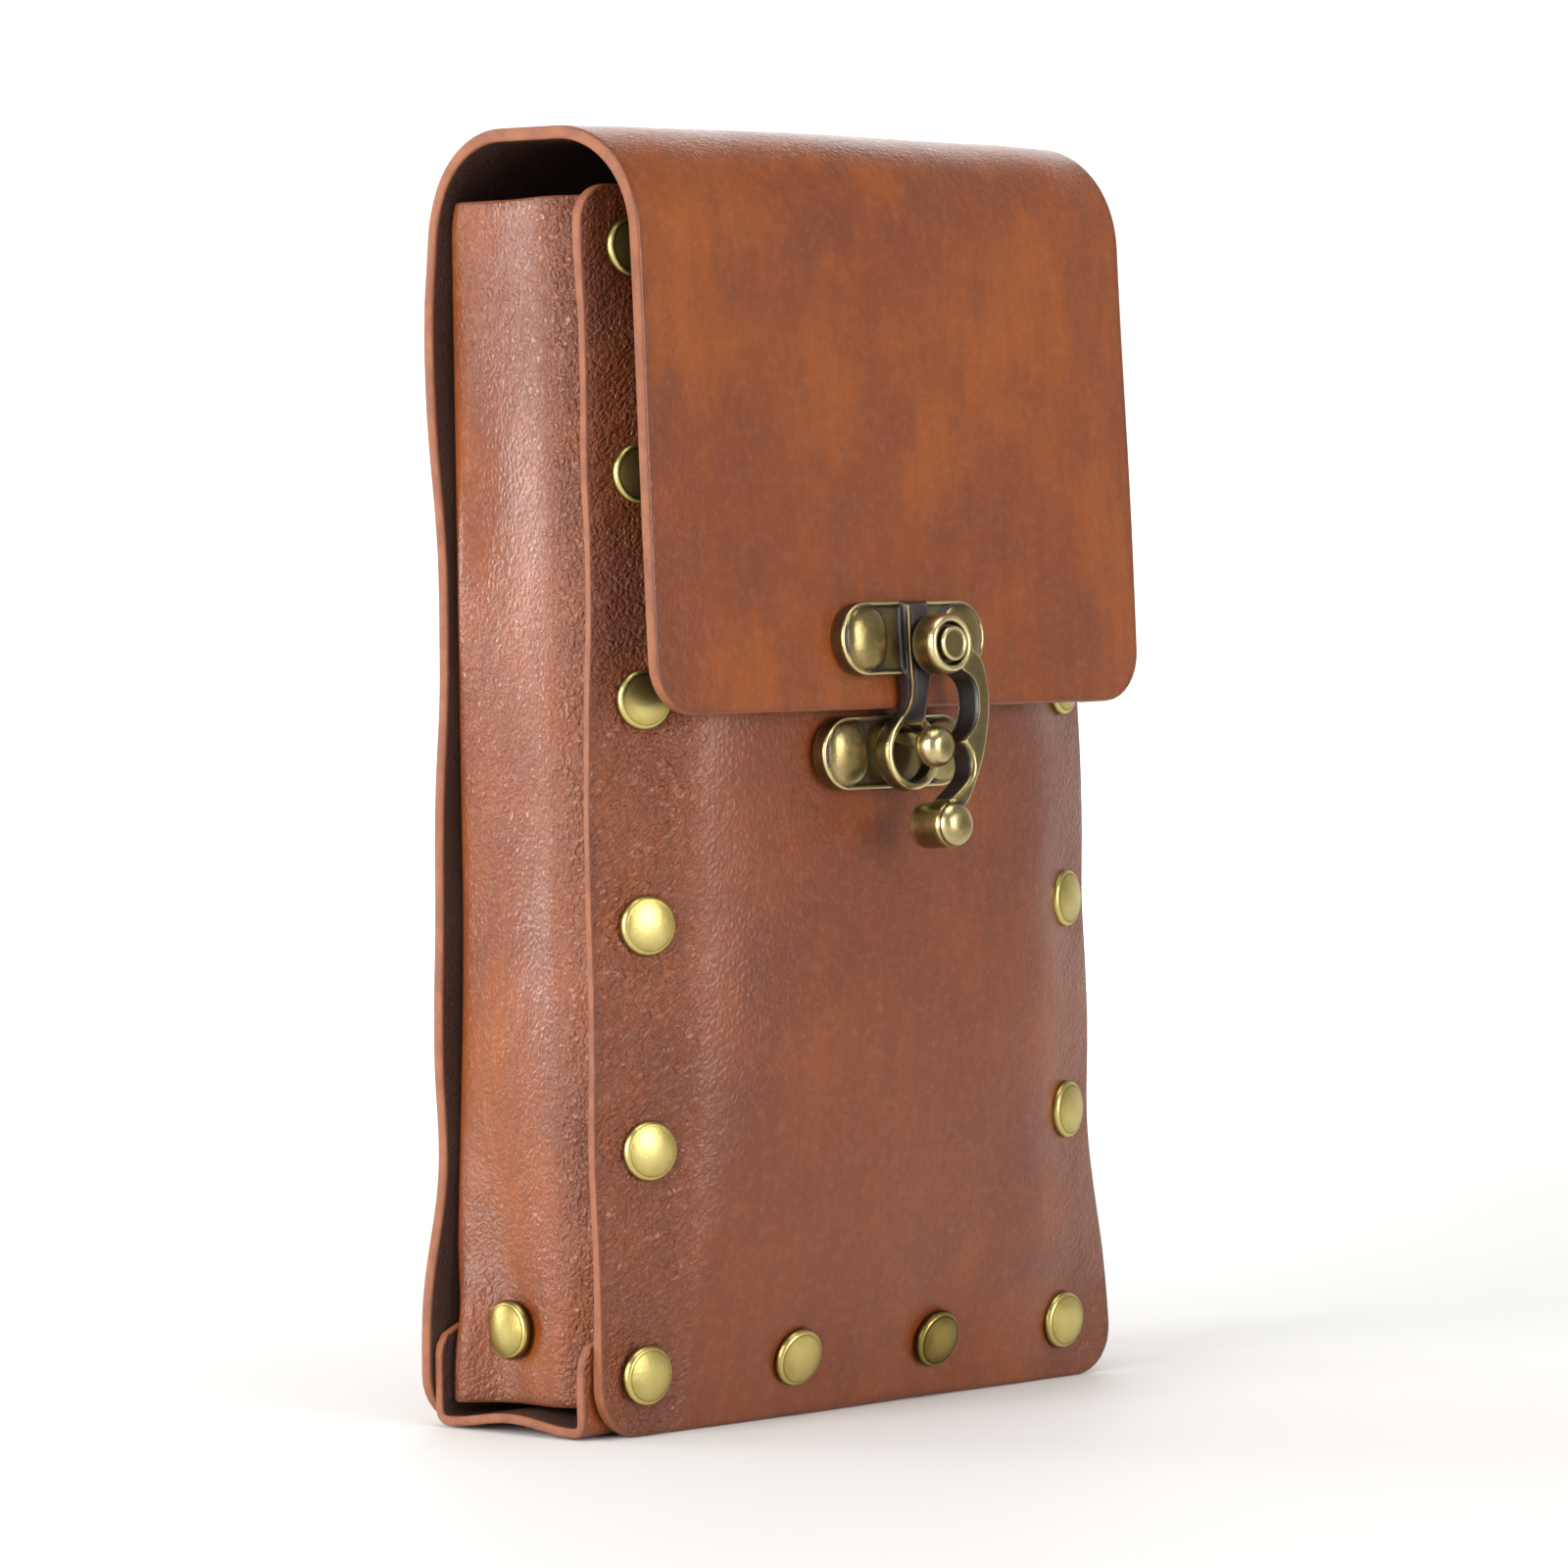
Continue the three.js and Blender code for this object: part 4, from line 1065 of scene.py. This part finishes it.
@dataclass(frozen=True)
class Hasp(Casting):
    """The hasp: plate, spine, ring and pivot pin."""

    ring_drop: float = 15.6

    def spine(self) -> list[Shell]:
        """The raised strap from the top of the plate down to the ring, with a ridge along its left edge."""
        rows = (
            (6.35, 2.2, 0.5, 3.3),
            (6.1, 2.5, 0.5, 3.85),
            (3.0, 2.5, 0.5, 4.0),
            (-3.5, 2.4, 0.5, 4.0),
            (-5.5, 2.05, 0.4, 3.95),
            (-7.5, 1.85, 0.4, 3.6),
            (-9.2, 2.05, 0.2, 3.0),
            (-10.4, 2.6, -1.1, 2.4),
            (-11.6, 3.2, -1.2, 1.7),
        )
        angle = np.linspace(0, 2 * math.pi, 32, endpoint=False)
        across, up = signed_power(np.cos(angle), 0.45), signed_power(np.sin(angle), 0.45)
        rings = []
        for y, half, low, high in rows:
            x = -self.pivot_side + half * across
            z = (low + high) / 2 + (high - low) / 2 * up
            rings.append(np.stack((x, np.full_like(x, y), z), 1))
        strap = stack(np.stack(rings))
        ridge = ((-3.7, 6.1, 3.7), (-3.85, 3.0, 3.85), (-3.8, -3.0, 3.85), (-3.5, -6.0, 3.7), (-3.4, -8.0, 3.2))
        ridge += ((-3.9, -9.6, 2.7), (-4.8, -11.0, 1.9), (-6.0, -12.6, 1.5))
        return [strap, tube(np.array(ridge), 0.26)]

    def shells(self) -> list[Shell]:
        """The hasp casting: plate, spine, ring and pivot pin."""
        ring = ((4.1, -0.8), (4.35, -1.15), (5.3, -1.15), (5.6, -0.8), (5.6, 1.1), (5.45, 1.6), (5.0, 1.85))
        ring += ((4.6, 1.75), (4.2, 1.3))
        base = ((0.05, 0.8), (3.6, 0.8), (3.6, 4.0), (3.4, 4.3), (1.6, 4.3), (1.6, 8.0))
        cap = ((2.3, 7.6), (2.55, 7.8), (2.58, 9.15), (2.46, 9.36), (2.24, 9.42), (2.04, 9.34), (1.9, 9.22))
        cap += ((0.05, 9.24),)
        return [
            *self.plate(-self.pivot_side, self.pivot_drop),
            *self.spine(),
            moved(lathe(ring, 64, closed=True), -self.pivot_side, -self.ring_drop),
            lathe(base + cap, 48),
        ]

    def dullness(self, points: Points, out: Points) -> np.ndarray:
        """Tarnish of the hasp: the strap is almost black, and the upright walls are dull."""
        x, y, z = points.T
        across = np.abs(x + self.pivot_side)
        on_strap = (1 - smooth((across - 2.7) / 0.5)) * smooth((y + 12.0) / 2.5)
        on_strap = on_strap * (1 - smooth((z - 4.15) / 0.4))
        return np.maximum(1.3 * on_strap, 0.6 * sideways(out) * (z < 4.0))


@dataclass(frozen=True)
class Hook(Casting):
    """The swing hook. Its outlines are seen from the front, as side and drop in shares of the knob's drop."""

    knob_drop: float = 26.4
    knob_side: float = -1.2
    back: float = 4.6
    front: float = 8.8
    outer: Outline = ((0.16, 0.02), (0.25, 0.1), (0.29, 0.3), (0.26, 0.5), (0.2, 0.68), (0.1, 0.86))
    upper_hollow: Outline = ((0.05, 0.14), (0.16, 0.21), (0.19, 0.33), (0.15, 0.46), (0.05, 0.545))
    lower_hollow: Outline = ((0.05, 0.545), (0.115, 0.63), (0.1, 0.74), (-0.06, 0.86))

    def spline(self, points: Sequence[tuple[float, float]], count: int) -> Points:
        """Evenly shared points on a smooth line through a hook outline, in mm with the pivot at 0,0."""
        table = np.asarray(points) * (self.knob_drop, -self.knob_drop)
        share = np.linspace(0, 1, count)
        return np.stack([line_through(table[:, axis], share) for axis in range(2)], 1)

    def shells(self) -> list[Shell]:
        """The boss with a grooved face, the curved arm with two hollows and a cusp, and the finger knob."""
        upper, lower = self.spline(self.upper_hollow, 24), self.spline(self.lower_hollow, 18)
        outer = self.spline(self.outer, 36)
        knob_at = np.array((self.knob_side, -self.knob_drop))
        outline = np.concatenate((upper, lower[1:], knob_at[None], outer[::-1]))
        rounding = ((0.5, self.back), (0.12, self.back + 0.2), (0.0, self.back + 0.5), (0.0, self.front - 0.75))
        rounding += ((0.12, self.front - 0.35), (0.35, self.front - 0.1), (0.6, self.front))
        arm = raised([inset(outline, distance) for distance, _ in rounding], [z for _, z in rounding])
        boss = (
            (1.95, self.back),
            (4.1, self.back),
            (4.4, self.back + 0.3),
            (4.4, 7.9),
            (4.28, 8.45),
            (4.05, 8.82),
            (3.75, 8.95),
            (3.45, 8.9),
            (3.22, 8.65),
            (3.12, 8.3),
            (3.1, 7.4),
            (1.95, 7.4),
        )
        knob = (
            (0.05, 2.2),
            (2.7, 2.2),
            (3.22, 2.4),
            (3.4, 2.8),
            (3.4, 8.0),
            (3.32, 8.3),
            (3.14, 8.42),
        )
        around = np.linspace(0.15, math.pi / 2 - 0.01, 14)
        dome = [(3.24 * math.cos(a) ** 0.8, 8.45 + 1.97 * math.sin(a)) for a in around]
        finger = moved(lathe([*knob, *dome], 64), self.knob_side, -self.knob_drop)
        return [arm, lathe(boss, 56, closed=True), finger]

    def dullness(self, points: Points, out: Points) -> np.ndarray:
        """Tarnish of the hook: the walls of the arm are dull, and the boss and the knob aren't."""
        from_pivot = np.hypot(points[:, 0], points[:, 1])
        from_knob = np.hypot(points[:, 0] - self.knob_side, points[:, 1] + self.knob_drop)
        on_arm = smooth((from_pivot - 4.5) / 0.6) * smooth((from_knob - 3.4) / 0.6)
        return on_arm * (0.25 + 0.75 * sideways(out))


@dataclass(frozen=True)
class StudPlate(Casting):
    """The stud plate with its neck and ball, in a frame whose origin is on the front panel."""

    below_hem: float = 6.4
    ball_rise: float = 0.8
    ball_reach: float = 10.8

    def place(self) -> Place:
        """The stud plate's frame, with its origin on the front panel."""
        body = self.body
        height = body.hem - self.below_hem
        return Place((0.0, -body.half_depth - float(body.bulge(0.0, height)), height), 0.0)

    def shells(self) -> list[Shell]:
        """The stud plate, its square neck, which leans down as it comes forward, and its barrel-shaped ball."""
        root = np.array((-self.pivot_side, 3.9 * self.ball_rise, 1.3))
        tip = np.array((-self.pivot_side, self.ball_rise, self.ball_reach))
        corner = np.array(((-1.5, -0.75), (-1.2, -1.1), (1.2, -1.1), (1.5, -0.75)))
        square = np.concatenate((corner, -corner))
        heights = np.linspace(0, 1, 12)
        flat_square = np.concatenate((square, np.zeros((8, 1))), 1)
        rings = [flat_square + root + (tip - root) * share for share in heights]
        around = np.linspace(-math.pi / 2 + 0.01, math.pi / 2 - 0.01, 30)
        ball = [(3.08 * math.cos(a) ** 0.62, 2.42 * math.sin(a)) for a in around]
        return [*self.plate(-self.pivot_side, 0.0), stack(np.stack(rings)), moved(lathe(ball, 64), *tip)]

    def dullness(self, points: Points, out: Points) -> np.ndarray:
        """Tarnish of the stud plate: its upright walls are dull, and its neck is made bright, partly as rubbed
        wear and partly as a painted highlight.
        """
        x, y, z = points.T
        neck_highlight = (np.abs(x + self.pivot_side) < 1.9) * (np.abs(y - 2.0) < 2.6) * (z > 3.0) * (z < 8.6)
        # Painted highlight: the neck's brass is brightened beyond its rubbed wear, standing in for the light
        # that it catches.
        return 0.5 * sideways(out) * (z < 3.0) - 0.9 * neck_highlight


def tone(red: int, green: int, blue: int) -> tuple[float, float, float, float]:
    """A colour given as 0 to 255 on a screen, in the linear values that shaders use."""
    channels = np.array((red, green, blue)) / 255
    linear = np.where(channels <= 0.04045, channels / 12.92, ((channels + 0.055) / 1.055) ** 2.4)
    return (*linear.tolist(), 1.0)


class Recipe:
    """A material under construction: adds nodes by plain calls, so that a recipe reads as a list of steps."""

    def __init__(self, name: str) -> None:
        """Starts an empty recipe."""
        self.material = bpy.data.materials.new(name)
        self.material.use_nodes = True
        self.tree = self.material.node_tree
        self.shader = self.tree.nodes["Principled BSDF"]
        self.place = self.tree.nodes.new("ShaderNodeTexCoord").outputs["Object"]

    def node(self, kind: str, inputs: dict[str | int, object], **settings: object) -> bpy.types.Node:
        """Adds a node, with its settings and its inputs given as values or as the outputs that feed them."""
        made = self.tree.nodes.new(kind)
        for key, value in settings.items():
            setattr(made, key, value)
        for key, value in inputs.items():
            if isinstance(value, bpy.types.NodeSocket):
                self.tree.links.new(value, made.inputs[key])
            else:
                made.inputs[key].default_value = value
        return made

    def field(self, name: str) -> bpy.types.NodeSocket:
        """A field of numbers on the piece's vertices."""
        return self.node("ShaderNodeAttribute", {}, attribute_name=name).outputs["Fac"]

    def stretched(self, x: float, y: float, z: float) -> bpy.types.NodeSocket:
        """The object's coordinates, scaled along each axis."""
        return self.node("ShaderNodeMapping", {"Vector": self.place, "Scale": (x, y, z)}).outputs["Vector"]

    def noise(
        self, scale: float, detail: float = 3.0, rough: float = 0.55, place: bpy.types.NodeSocket | None = None
    ) -> bpy.types.NodeSocket:
        """Fractal noise with a given number of cells to the metre."""
        inputs = {"Vector": place or self.place, "Scale": scale, "Detail": detail, "Roughness": rough}
        return self.node("ShaderNodeTexNoise", inputs).outputs["Fac"]

    def cells(self, scale: float, place: bpy.types.NodeSocket) -> bpy.types.NodeSocket:
        """Distance from the borders of Voronoi cells, with a given number of cells to the metre."""
        inputs = {"Vector": place, "Scale": scale}
        return self.node("ShaderNodeTexVoronoi", inputs, feature="DISTANCE_TO_EDGE").outputs["Distance"]

    def math(self, operation: str, a: object, b: object = 0.0) -> bpy.types.NodeSocket:
        """Arithmetic on one or two numbers."""
        return self.node("ShaderNodeMath", {0: a, 1: b}, operation=operation).outputs[0]

    def spread(
        self, value: object, low: float, high: float, to_low: float = 0.0, to_high: float = 1.0
    ) -> bpy.types.NodeSocket:
        """Maps low..high to another range with soft ends."""
        inputs = {"Value": value, "From Min": low, "From Max": high, "To Min": to_low, "To Max": to_high}
        return self.node("ShaderNodeMapRange", inputs, interpolation_type="SMOOTHSTEP").outputs["Result"]

    def mix(self, share: object, a: object, b: object) -> bpy.types.NodeSocket:
        """A colour between two."""
        made = self.node("ShaderNodeMix", {}, data_type="RGBA")
        for socket, value in zip((made.inputs[0], made.inputs[6], made.inputs[7]), (share, a, b)):
            if isinstance(value, bpy.types.NodeSocket):
                self.tree.links.new(value, socket)
            else:
                socket.default_value = value
        return made.outputs[2]

    def feed(self, **inputs: object) -> None:
        """Sets the shader's inputs, whose names have _ for a space."""
        for key, value in inputs.items():
            socket = self.shader.inputs[key.replace("_", " ")]
            if isinstance(value, bpy.types.NodeSocket):
                self.tree.links.new(value, socket)
            else:
                socket.default_value = value

    def bump(
        self, height: object, distance: float, strength: object = 1.0, under: bpy.types.NodeSocket | None = None
    ) -> bpy.types.NodeSocket:
        """A bump of a height field, on top of another bump if one is given."""
        inputs = {"Height": height, "Distance": distance, "Strength": strength}
        if under is not None:
            inputs["Normal"] = under
        return self.node("ShaderNodeBump", inputs).outputs["Normal"]


@dataclass(frozen=True)
class Hide:
    """Oiled saddle leather, with its tones as screen colours.

    It has clouds of orange-brown and mauve-brown, fine streaks, pebble grain and wrinkles. The flesh side
    is dark and matt, and the cut edges are paler and rough; a band of painted shade darkens the face beside
    them.
    Wrinkles are noise folded about its middle, so that it makes long thin veins, and the field crease brings
    them up;
    the veins are painted darker as shade.
    """

    light: Screen = (138, 71, 28)
    dark: Screen = (120, 60, 30)
    warm: Screen = (156, 80, 24)
    dark_dye_and_shade: Screen = (98, 47, 28)
    streak: Screen = (92, 48, 32)
    fleck: Screen = (172, 112, 82)
    # Tone of the painted shade in the wrinkles' veins.
    painted_vein_shade: Screen = (84, 44, 31)
    # Tone of the painted shade on the face beside the cut edges.
    painted_edge_shade: Screen = (90, 47, 31)
    edge_light: Screen = (152, 90, 56)
    edge_dark: Screen = (134, 77, 48)
    flesh_dark: Screen = (56, 35, 28)
    flesh_light: Screen = (74, 48, 38)

    def grain_tone(self, r: Recipe) -> bpy.types.NodeSocket:
        """Colour of the grain side: clouds, warm patches, a per-piece darkening that is partly dyeing and
        partly painted shade, streaks and flecks, each over the one before.
        """
        clouds = r.spread(r.noise(27, 4.0, 0.62), 0.36, 0.62)
        warm = r.spread(r.noise(44, 4.0, 0.64, r.stretched(1.0, 1.0, 0.8)), 0.45, 0.66)
        streaks = r.spread(r.noise(480, 4.0, 0.62, r.stretched(1.0, 1.0, 0.16)), 0.35, 0.75)
        flecks = r.spread(r.noise(760, 3.0, 0.6), 0.45, 0.75)
        colour = r.mix(clouds, tone(*self.light), tone(*self.dark))
        colour = r.mix(r.math("MULTIPLY", warm, 0.6), colour, tone(*self.warm))
        # Per-piece darkening, partly dyeing and partly painted shade: strongest on the front panel, which
        # stands in the flap's shade.
        colour = r.mix(r.math("MULTIPLY", r.field("dye_and_shade"), 0.5), colour, tone(*self.dark_dye_and_shade))
        colour = r.mix(r.math("MULTIPLY", streaks, 0.3), colour, tone(*self.streak))
        return r.mix(r.math("MULTIPLY", flecks, 0.16), colour, tone(*self.fleck))

    def material(self) -> bpy.types.Material:
        """The leather as a material."""
        r = Recipe("leather")
        crease = r.field("crease")
        slanted = {"Vector": r.place, "Rotation": (0.0, -0.6, 0.0), "Scale": (2.8, 1.0, 1.0)}
        slanting = r.node("ShaderNodeMapping", slanted, vector_type="TEXTURE").outputs["Vector"]
        folds = r.noise(900, 3.0, 0.6, slanting)
        veins = r.spread(r.math("ABSOLUTE", r.math("SUBTRACT", folds, 0.5)), 0.0, 0.12)
        # Painted shade: the wrinkles' veins are darkened where the leather is creased.
        vein_shade_mask = r.math("MULTIPLY", r.math("SUBTRACT", 1.0, veins), crease)
        colour = r.mix(r.math("MULTIPLY", vein_shade_mask, 0.22), self.grain_tone(r), tone(*self.painted_vein_shade))
        edge, flesh = r.field("edge"), r.field("flesh")
        on_edge = r.spread(edge, 0.55, 0.95)
        patches = r.spread(r.noise(260, 2.0), 0.35, 0.65)
        edge_tone = r.mix(patches, tone(*self.edge_light), tone(*self.edge_dark))
        flesh_tone = r.mix(r.noise(1500, 4.0, 0.7), tone(*self.flesh_dark), tone(*self.flesh_light))
        # Painted shade: the face close to each cut edge is darkened by up to 0.4 towards a dark brown.
        colour = r.mix(r.math("MULTIPLY", r.spread(edge, 0.05, 0.5), 0.4), colour, tone(*self.painted_edge_shade))
        colour = r.mix(flesh, r.mix(on_edge, colour, edge_tone), flesh_tone)
        raw = r.math("MAXIMUM", on_edge, flesh)
        rough = r.spread(r.noise(70, 3.0), 0.3, 0.7, 0.32, 0.44)
        rough = r.math("ADD", rough, r.math("MULTIPLY", raw, 0.3))
        pebbles = r.spread(r.cells(1000, r.stretched(1.0, 1.0, 0.8)), 0.0, 0.4)
        normal = r.bump(pebbles, 0.00014, r.spread(crease, 0.0, 1.0, 0.2, 1.0))
        normal = r.bump(veins, 0.00016, crease, normal)
        normal = r.bump(r.noise(230, 3.0, 0.55, slanting), 0.0009, crease, normal)
        normal = r.bump(r.noise(2600, 4.0, 0.7), 0.00022, raw, normal)
        r.feed(Base_Color=colour, Roughness=rough, Normal=normal, Coat_Normal=normal)
        r.feed(Specular_IOR_Level=0.18, Coat_Weight=0.55, Coat_Roughness=0.24)
        return r.material


@dataclass(frozen=True)
class Brass:
    """Antiqued brass: dark in the hollows, bright where it is rubbed, with blotches and fine scratches.

    Attributes:
        name: Name of the material.
        dark: Tone of the hollows, as a screen colour.
        middle: Tone of the flat metal.
        bright: Tone of the rubbed metal.
        low: Wear at which the dark starts to lift.
        high: Wear at which the metal is bright.
        polish: Roughness of the rubbed metal.
    """

    name: str
    dark: Screen
    middle: Screen
    bright: Screen
    low: float
    high: float
    polish: float

    def material(self) -> bpy.types.Material:
        """The brass as a material."""
        r = Recipe(self.name)
        blotch = r.math("MULTIPLY", r.math("SUBTRACT", r.noise(430, 4.0, 0.62), 0.5), 0.25)
        worn = r.math("ADD", r.field("wear"), blotch)
        worn = r.math("SUBTRACT", worn, r.math("MULTIPLY", r.field("tarnish"), 0.4))
        middle = (self.low + self.high) / 2
        rubbed = r.spread(worn, self.low, middle)
        colour = r.mix(rubbed, tone(*self.dark), tone(*self.middle))
        colour = r.mix(r.spread(worn, middle, self.high), colour, tone(*self.bright))
        scratch = r.noise(2400, 2.0, 0.5, r.stretched(1.0, 1.0, 0.12))
        smoothness = r.spread(rubbed, 0.0, 1.0, 0.4, self.polish)
        r.feed(
            Base_Color=colour,
            Metallic=1.0,
            Roughness=r.math("ADD", smoothness, r.math("MULTIPLY", scratch, 0.08)),
            Normal=r.bump(r.noise(1800, 3.0, 0.6), 0.00006, 0.6, r.bump(scratch, 0.00003, 0.4)),
        )
        return r.material


@dataclass(frozen=True)
class Softbox:
    """A large soft light, aimed at the middle of the pouch or at another target.

    Attributes:
        name: Name of the light.
        azimuth: Direction in degrees, 0 in front of the pouch and 90 to its right.
        elevation: Degrees above the horizon.
        distance: Metres from the pouch.
        size: Width in metres.
        power: Watts.
        target: The point that it is aimed at.
    """

    name: str
    azimuth: float
    elevation: float
    distance: float
    size: float
    power: float
    target: tuple[float, float, float] = (0.0, 0.0, 0.095)

    def add(self) -> None:
        """Puts the light in the scene."""
        data = bpy.data.lights.new(self.name, "AREA")
        data.shape = "SQUARE"
        data.size = self.size
        data.energy = self.power
        light = bpy.data.objects.new(self.name, data)
        a, e = math.radians(self.azimuth), math.radians(self.elevation)
        out = Vector((math.sin(a) * math.cos(e), -math.cos(a) * math.cos(e), math.sin(e)))
        light.location = Vector((0, 0, 0.095)) + out * self.distance
        light.rotation_euler = (light.location - Vector(self.target)).to_track_quat("Z", "Y").to_euler()
        bpy.context.scene.collection.objects.link(light)


@dataclass(frozen=True)
class Studio:
    """A plain pale floor that curves up far away on every side, even light from above, and the softboxes.

    Attributes:
        flat: Radius in metres of the flat part of the floor.
        curve: Radius of the curve that the floor ends in.
        wall: Height of the wall that the curve ends in.
        sky: Strength of the even light.
        softboxes: The lights.
    """

    flat: float = 1.7
    curve: float = 1.6
    wall: float = 2.6
    sky: float = 0.25
    softboxes: tuple[Softbox, ...] = (
        Softbox("key", -91, 12, 1.2, 0.7, 14.0),
        Softbox("side", -152, 8, 1.2, 0.4, 5.5),
        Softbox("fill", 3, 10, 1.3, 0.6, 8.0),
        Softbox("top", -30, 78, 1.4, 0.9, 8.0),
        Softbox("back", 156, 10, 0.7, 1.2, 4.0),
        Softbox("backdrop", 135, 50, 1.6, 1.0, 40.0, (2.2, 2.2, 0.3)),
    )

    def floor(self) -> None:
        """Lays the floor: rings about the upright axis, from a flat disc over a quarter circle to the wall."""
        angle = np.linspace(0, math.pi / 2, 13)[1:]
        profile = [(0.8, 0.0), (self.flat, 0.0)]
        profile += [(self.flat + self.curve * math.sin(a), self.curve * (1 - math.cos(a))) for a in angle]
        profile += [(self.flat + self.curve, self.wall)]
        sides = 96
        turn = np.linspace(0, 2 * math.pi, sides, endpoint=False)
        rings = [np.stack((r * np.cos(turn), r * np.sin(turn), np.full(sides, z)), 1) for r, z in profile]
        points, faces = stack(np.stack(rings))
        mesh = bpy.data.meshes.new("floor")
        mesh.from_pydata(points.tolist(), [], faces[:-1])
        mesh.shade_smooth()
        r = Recipe("floor")
        r.feed(Base_Color=r.mix(r.noise(3.0, 2.0), tone(236, 235, 233), tone(241, 240, 238)), Roughness=0.65)
        mesh.materials.append(r.material)
        floor = bpy.data.objects.new("floor", mesh)
        bpy.context.scene.collection.objects.link(floor)

    def build(self) -> None:
        """Lays the floor and lights it."""
        self.floor()
        world = bpy.data.worlds.new("studio")
        world.use_nodes = True
        sky = world.node_tree.nodes["Background"]
        sky.inputs["Color"].default_value = (1.0, 1.0, 1.0, 1.0)
        sky.inputs["Strength"].default_value = self.sky
        bpy.context.scene.world = world
        for softbox in self.softboxes:
            softbox.add()


@dataclass(frozen=True)
class Camera:
    """The camera at the photograph's angle: 45 degrees left of the front, a little above the middle.

    Its place was fitted to the rivets and edges. Angles are in degrees and lengths in millimetres.

    Attributes:
        yaw: How far it is turned about the upright.
        pitch: How far it looks up.
        roll: How far it leans.
        aim: The point that its place is measured from.
        distance: How far behind that point it stands.
        side: How far to its own right it is shifted.
        drop: How far down it is shifted.
        lens: Focal length, on a film 36 mm wide.
    """

    yaw: float = 45.02
    pitch: float = -1.79
    roll: float = -0.87
    aim: tuple[float, float, float] = (-0.14, 7.74, 100.01)
    distance: float = 976.68
    side: float = 2.61
    drop: float = 7.55
    lens: float = 149.3

    def build(self) -> None:
        """Puts the camera in the scene."""
        yaw, pitch, roll = (math.radians(angle) for angle in (self.yaw, self.pitch, self.roll))
        forward = Vector((math.sin(yaw) * math.cos(pitch), math.cos(yaw) * math.cos(pitch), math.sin(pitch)))
        level = Vector((math.cos(yaw), -math.sin(yaw), 0.0))
        upright = level.cross(forward)
        right = math.cos(roll) * level + math.sin(roll) * upright
        up = math.cos(roll) * upright - math.sin(roll) * level
        place = Vector(self.aim) - forward * self.distance + right * self.side - up * self.drop
        data = bpy.data.cameras.new("camera")
        data.sensor_width = 36.0
        data.lens = self.lens
        eye = bpy.data.objects.new("camera", data)
        turn = Matrix((right, up, -forward)).transposed().to_4x4()
        eye.matrix_world = Matrix.Translation(place * 0.001) @ turn
        bpy.context.scene.collection.objects.link(eye)
        bpy.context.scene.camera = eye


def frame_origin(body: Body, hasp: Hasp) -> np.ndarray:
    """The pouch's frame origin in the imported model's frame, in metres, from the boxes of two nodes."""
    back_low, back_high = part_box("back_panel_flap")
    hasp_low, hasp_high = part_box("clasp_hasp")
    x = (hasp_low[0] + hasp_high[0]) / 2 + hasp.pivot_side * 0.001
    return np.array((x, back_high[1] - body.half_depth * 0.001, back_low[2]))


def main() -> None:
    """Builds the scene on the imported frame."""
    logging.basicConfig(level=logging.INFO, format="%(name)s: %(message)s")
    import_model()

    body = Body()
    gussets = (
        SideGusset(body, "side_gusset_left", body.gusset_wall, 0.2, Hand.LEFT),
        SideGusset(body, "side_gusset_right", body.gusset_wall, 0.2, Hand.RIGHT),
    )
    loops = (
        BeltLoop(body, "belt_loop_left", body.shell, 0.3, Hand.LEFT),
        BeltLoop(body, "belt_loop_right", body.shell, 0.5, Hand.RIGHT),
    )
    sheets = (
        # Each piece's darkening is partly tone and partly painted shade; the front panel's 0.8 stands in for
        # the shade under the flap.
        FrontPanel(body, "front_panel", body.shell, 0.8),
        BackPanelAndFlap(body, "back_panel_flap", body.shell, 0.0),
        *gussets,
        BottomGusset(body, "bottom_gusset", body.gusset_wall, 0.5),
        *loops,
    )
    hasp = Hasp(body, "clasp_hasp", "pouch")
    castings = (hasp, Hook(body, "clasp_hook", "swing_hook"), StudPlate(body, "clasp_stud_plate", "pouch"))

    shop = Workshop(frame_origin(body, hasp))
    hide = Hide().material()
    for sheet in sheets:
        sheet.build(shop, hide)
    cap_brass = Brass("rivet_brass", (78, 62, 34), (158, 138, 74), (206, 190, 120), 0.05, 0.85, 0.3)
    RivetSet(body, gussets, loops).build(shop, cap_brass.material())
    clasp_brass = Brass("clasp_brass", (84, 79, 78), (136, 119, 76), (210, 195, 145), 0.22, 0.85, 0.25)
    clasp_metal = clasp_brass.material()
    for casting in castings:
        casting.build(shop, clasp_metal)

    Studio().build()
    Camera().build()
    bpy.context.scene.view_settings.view_transform = "Standard"


if __name__ == "__main__":
    main()
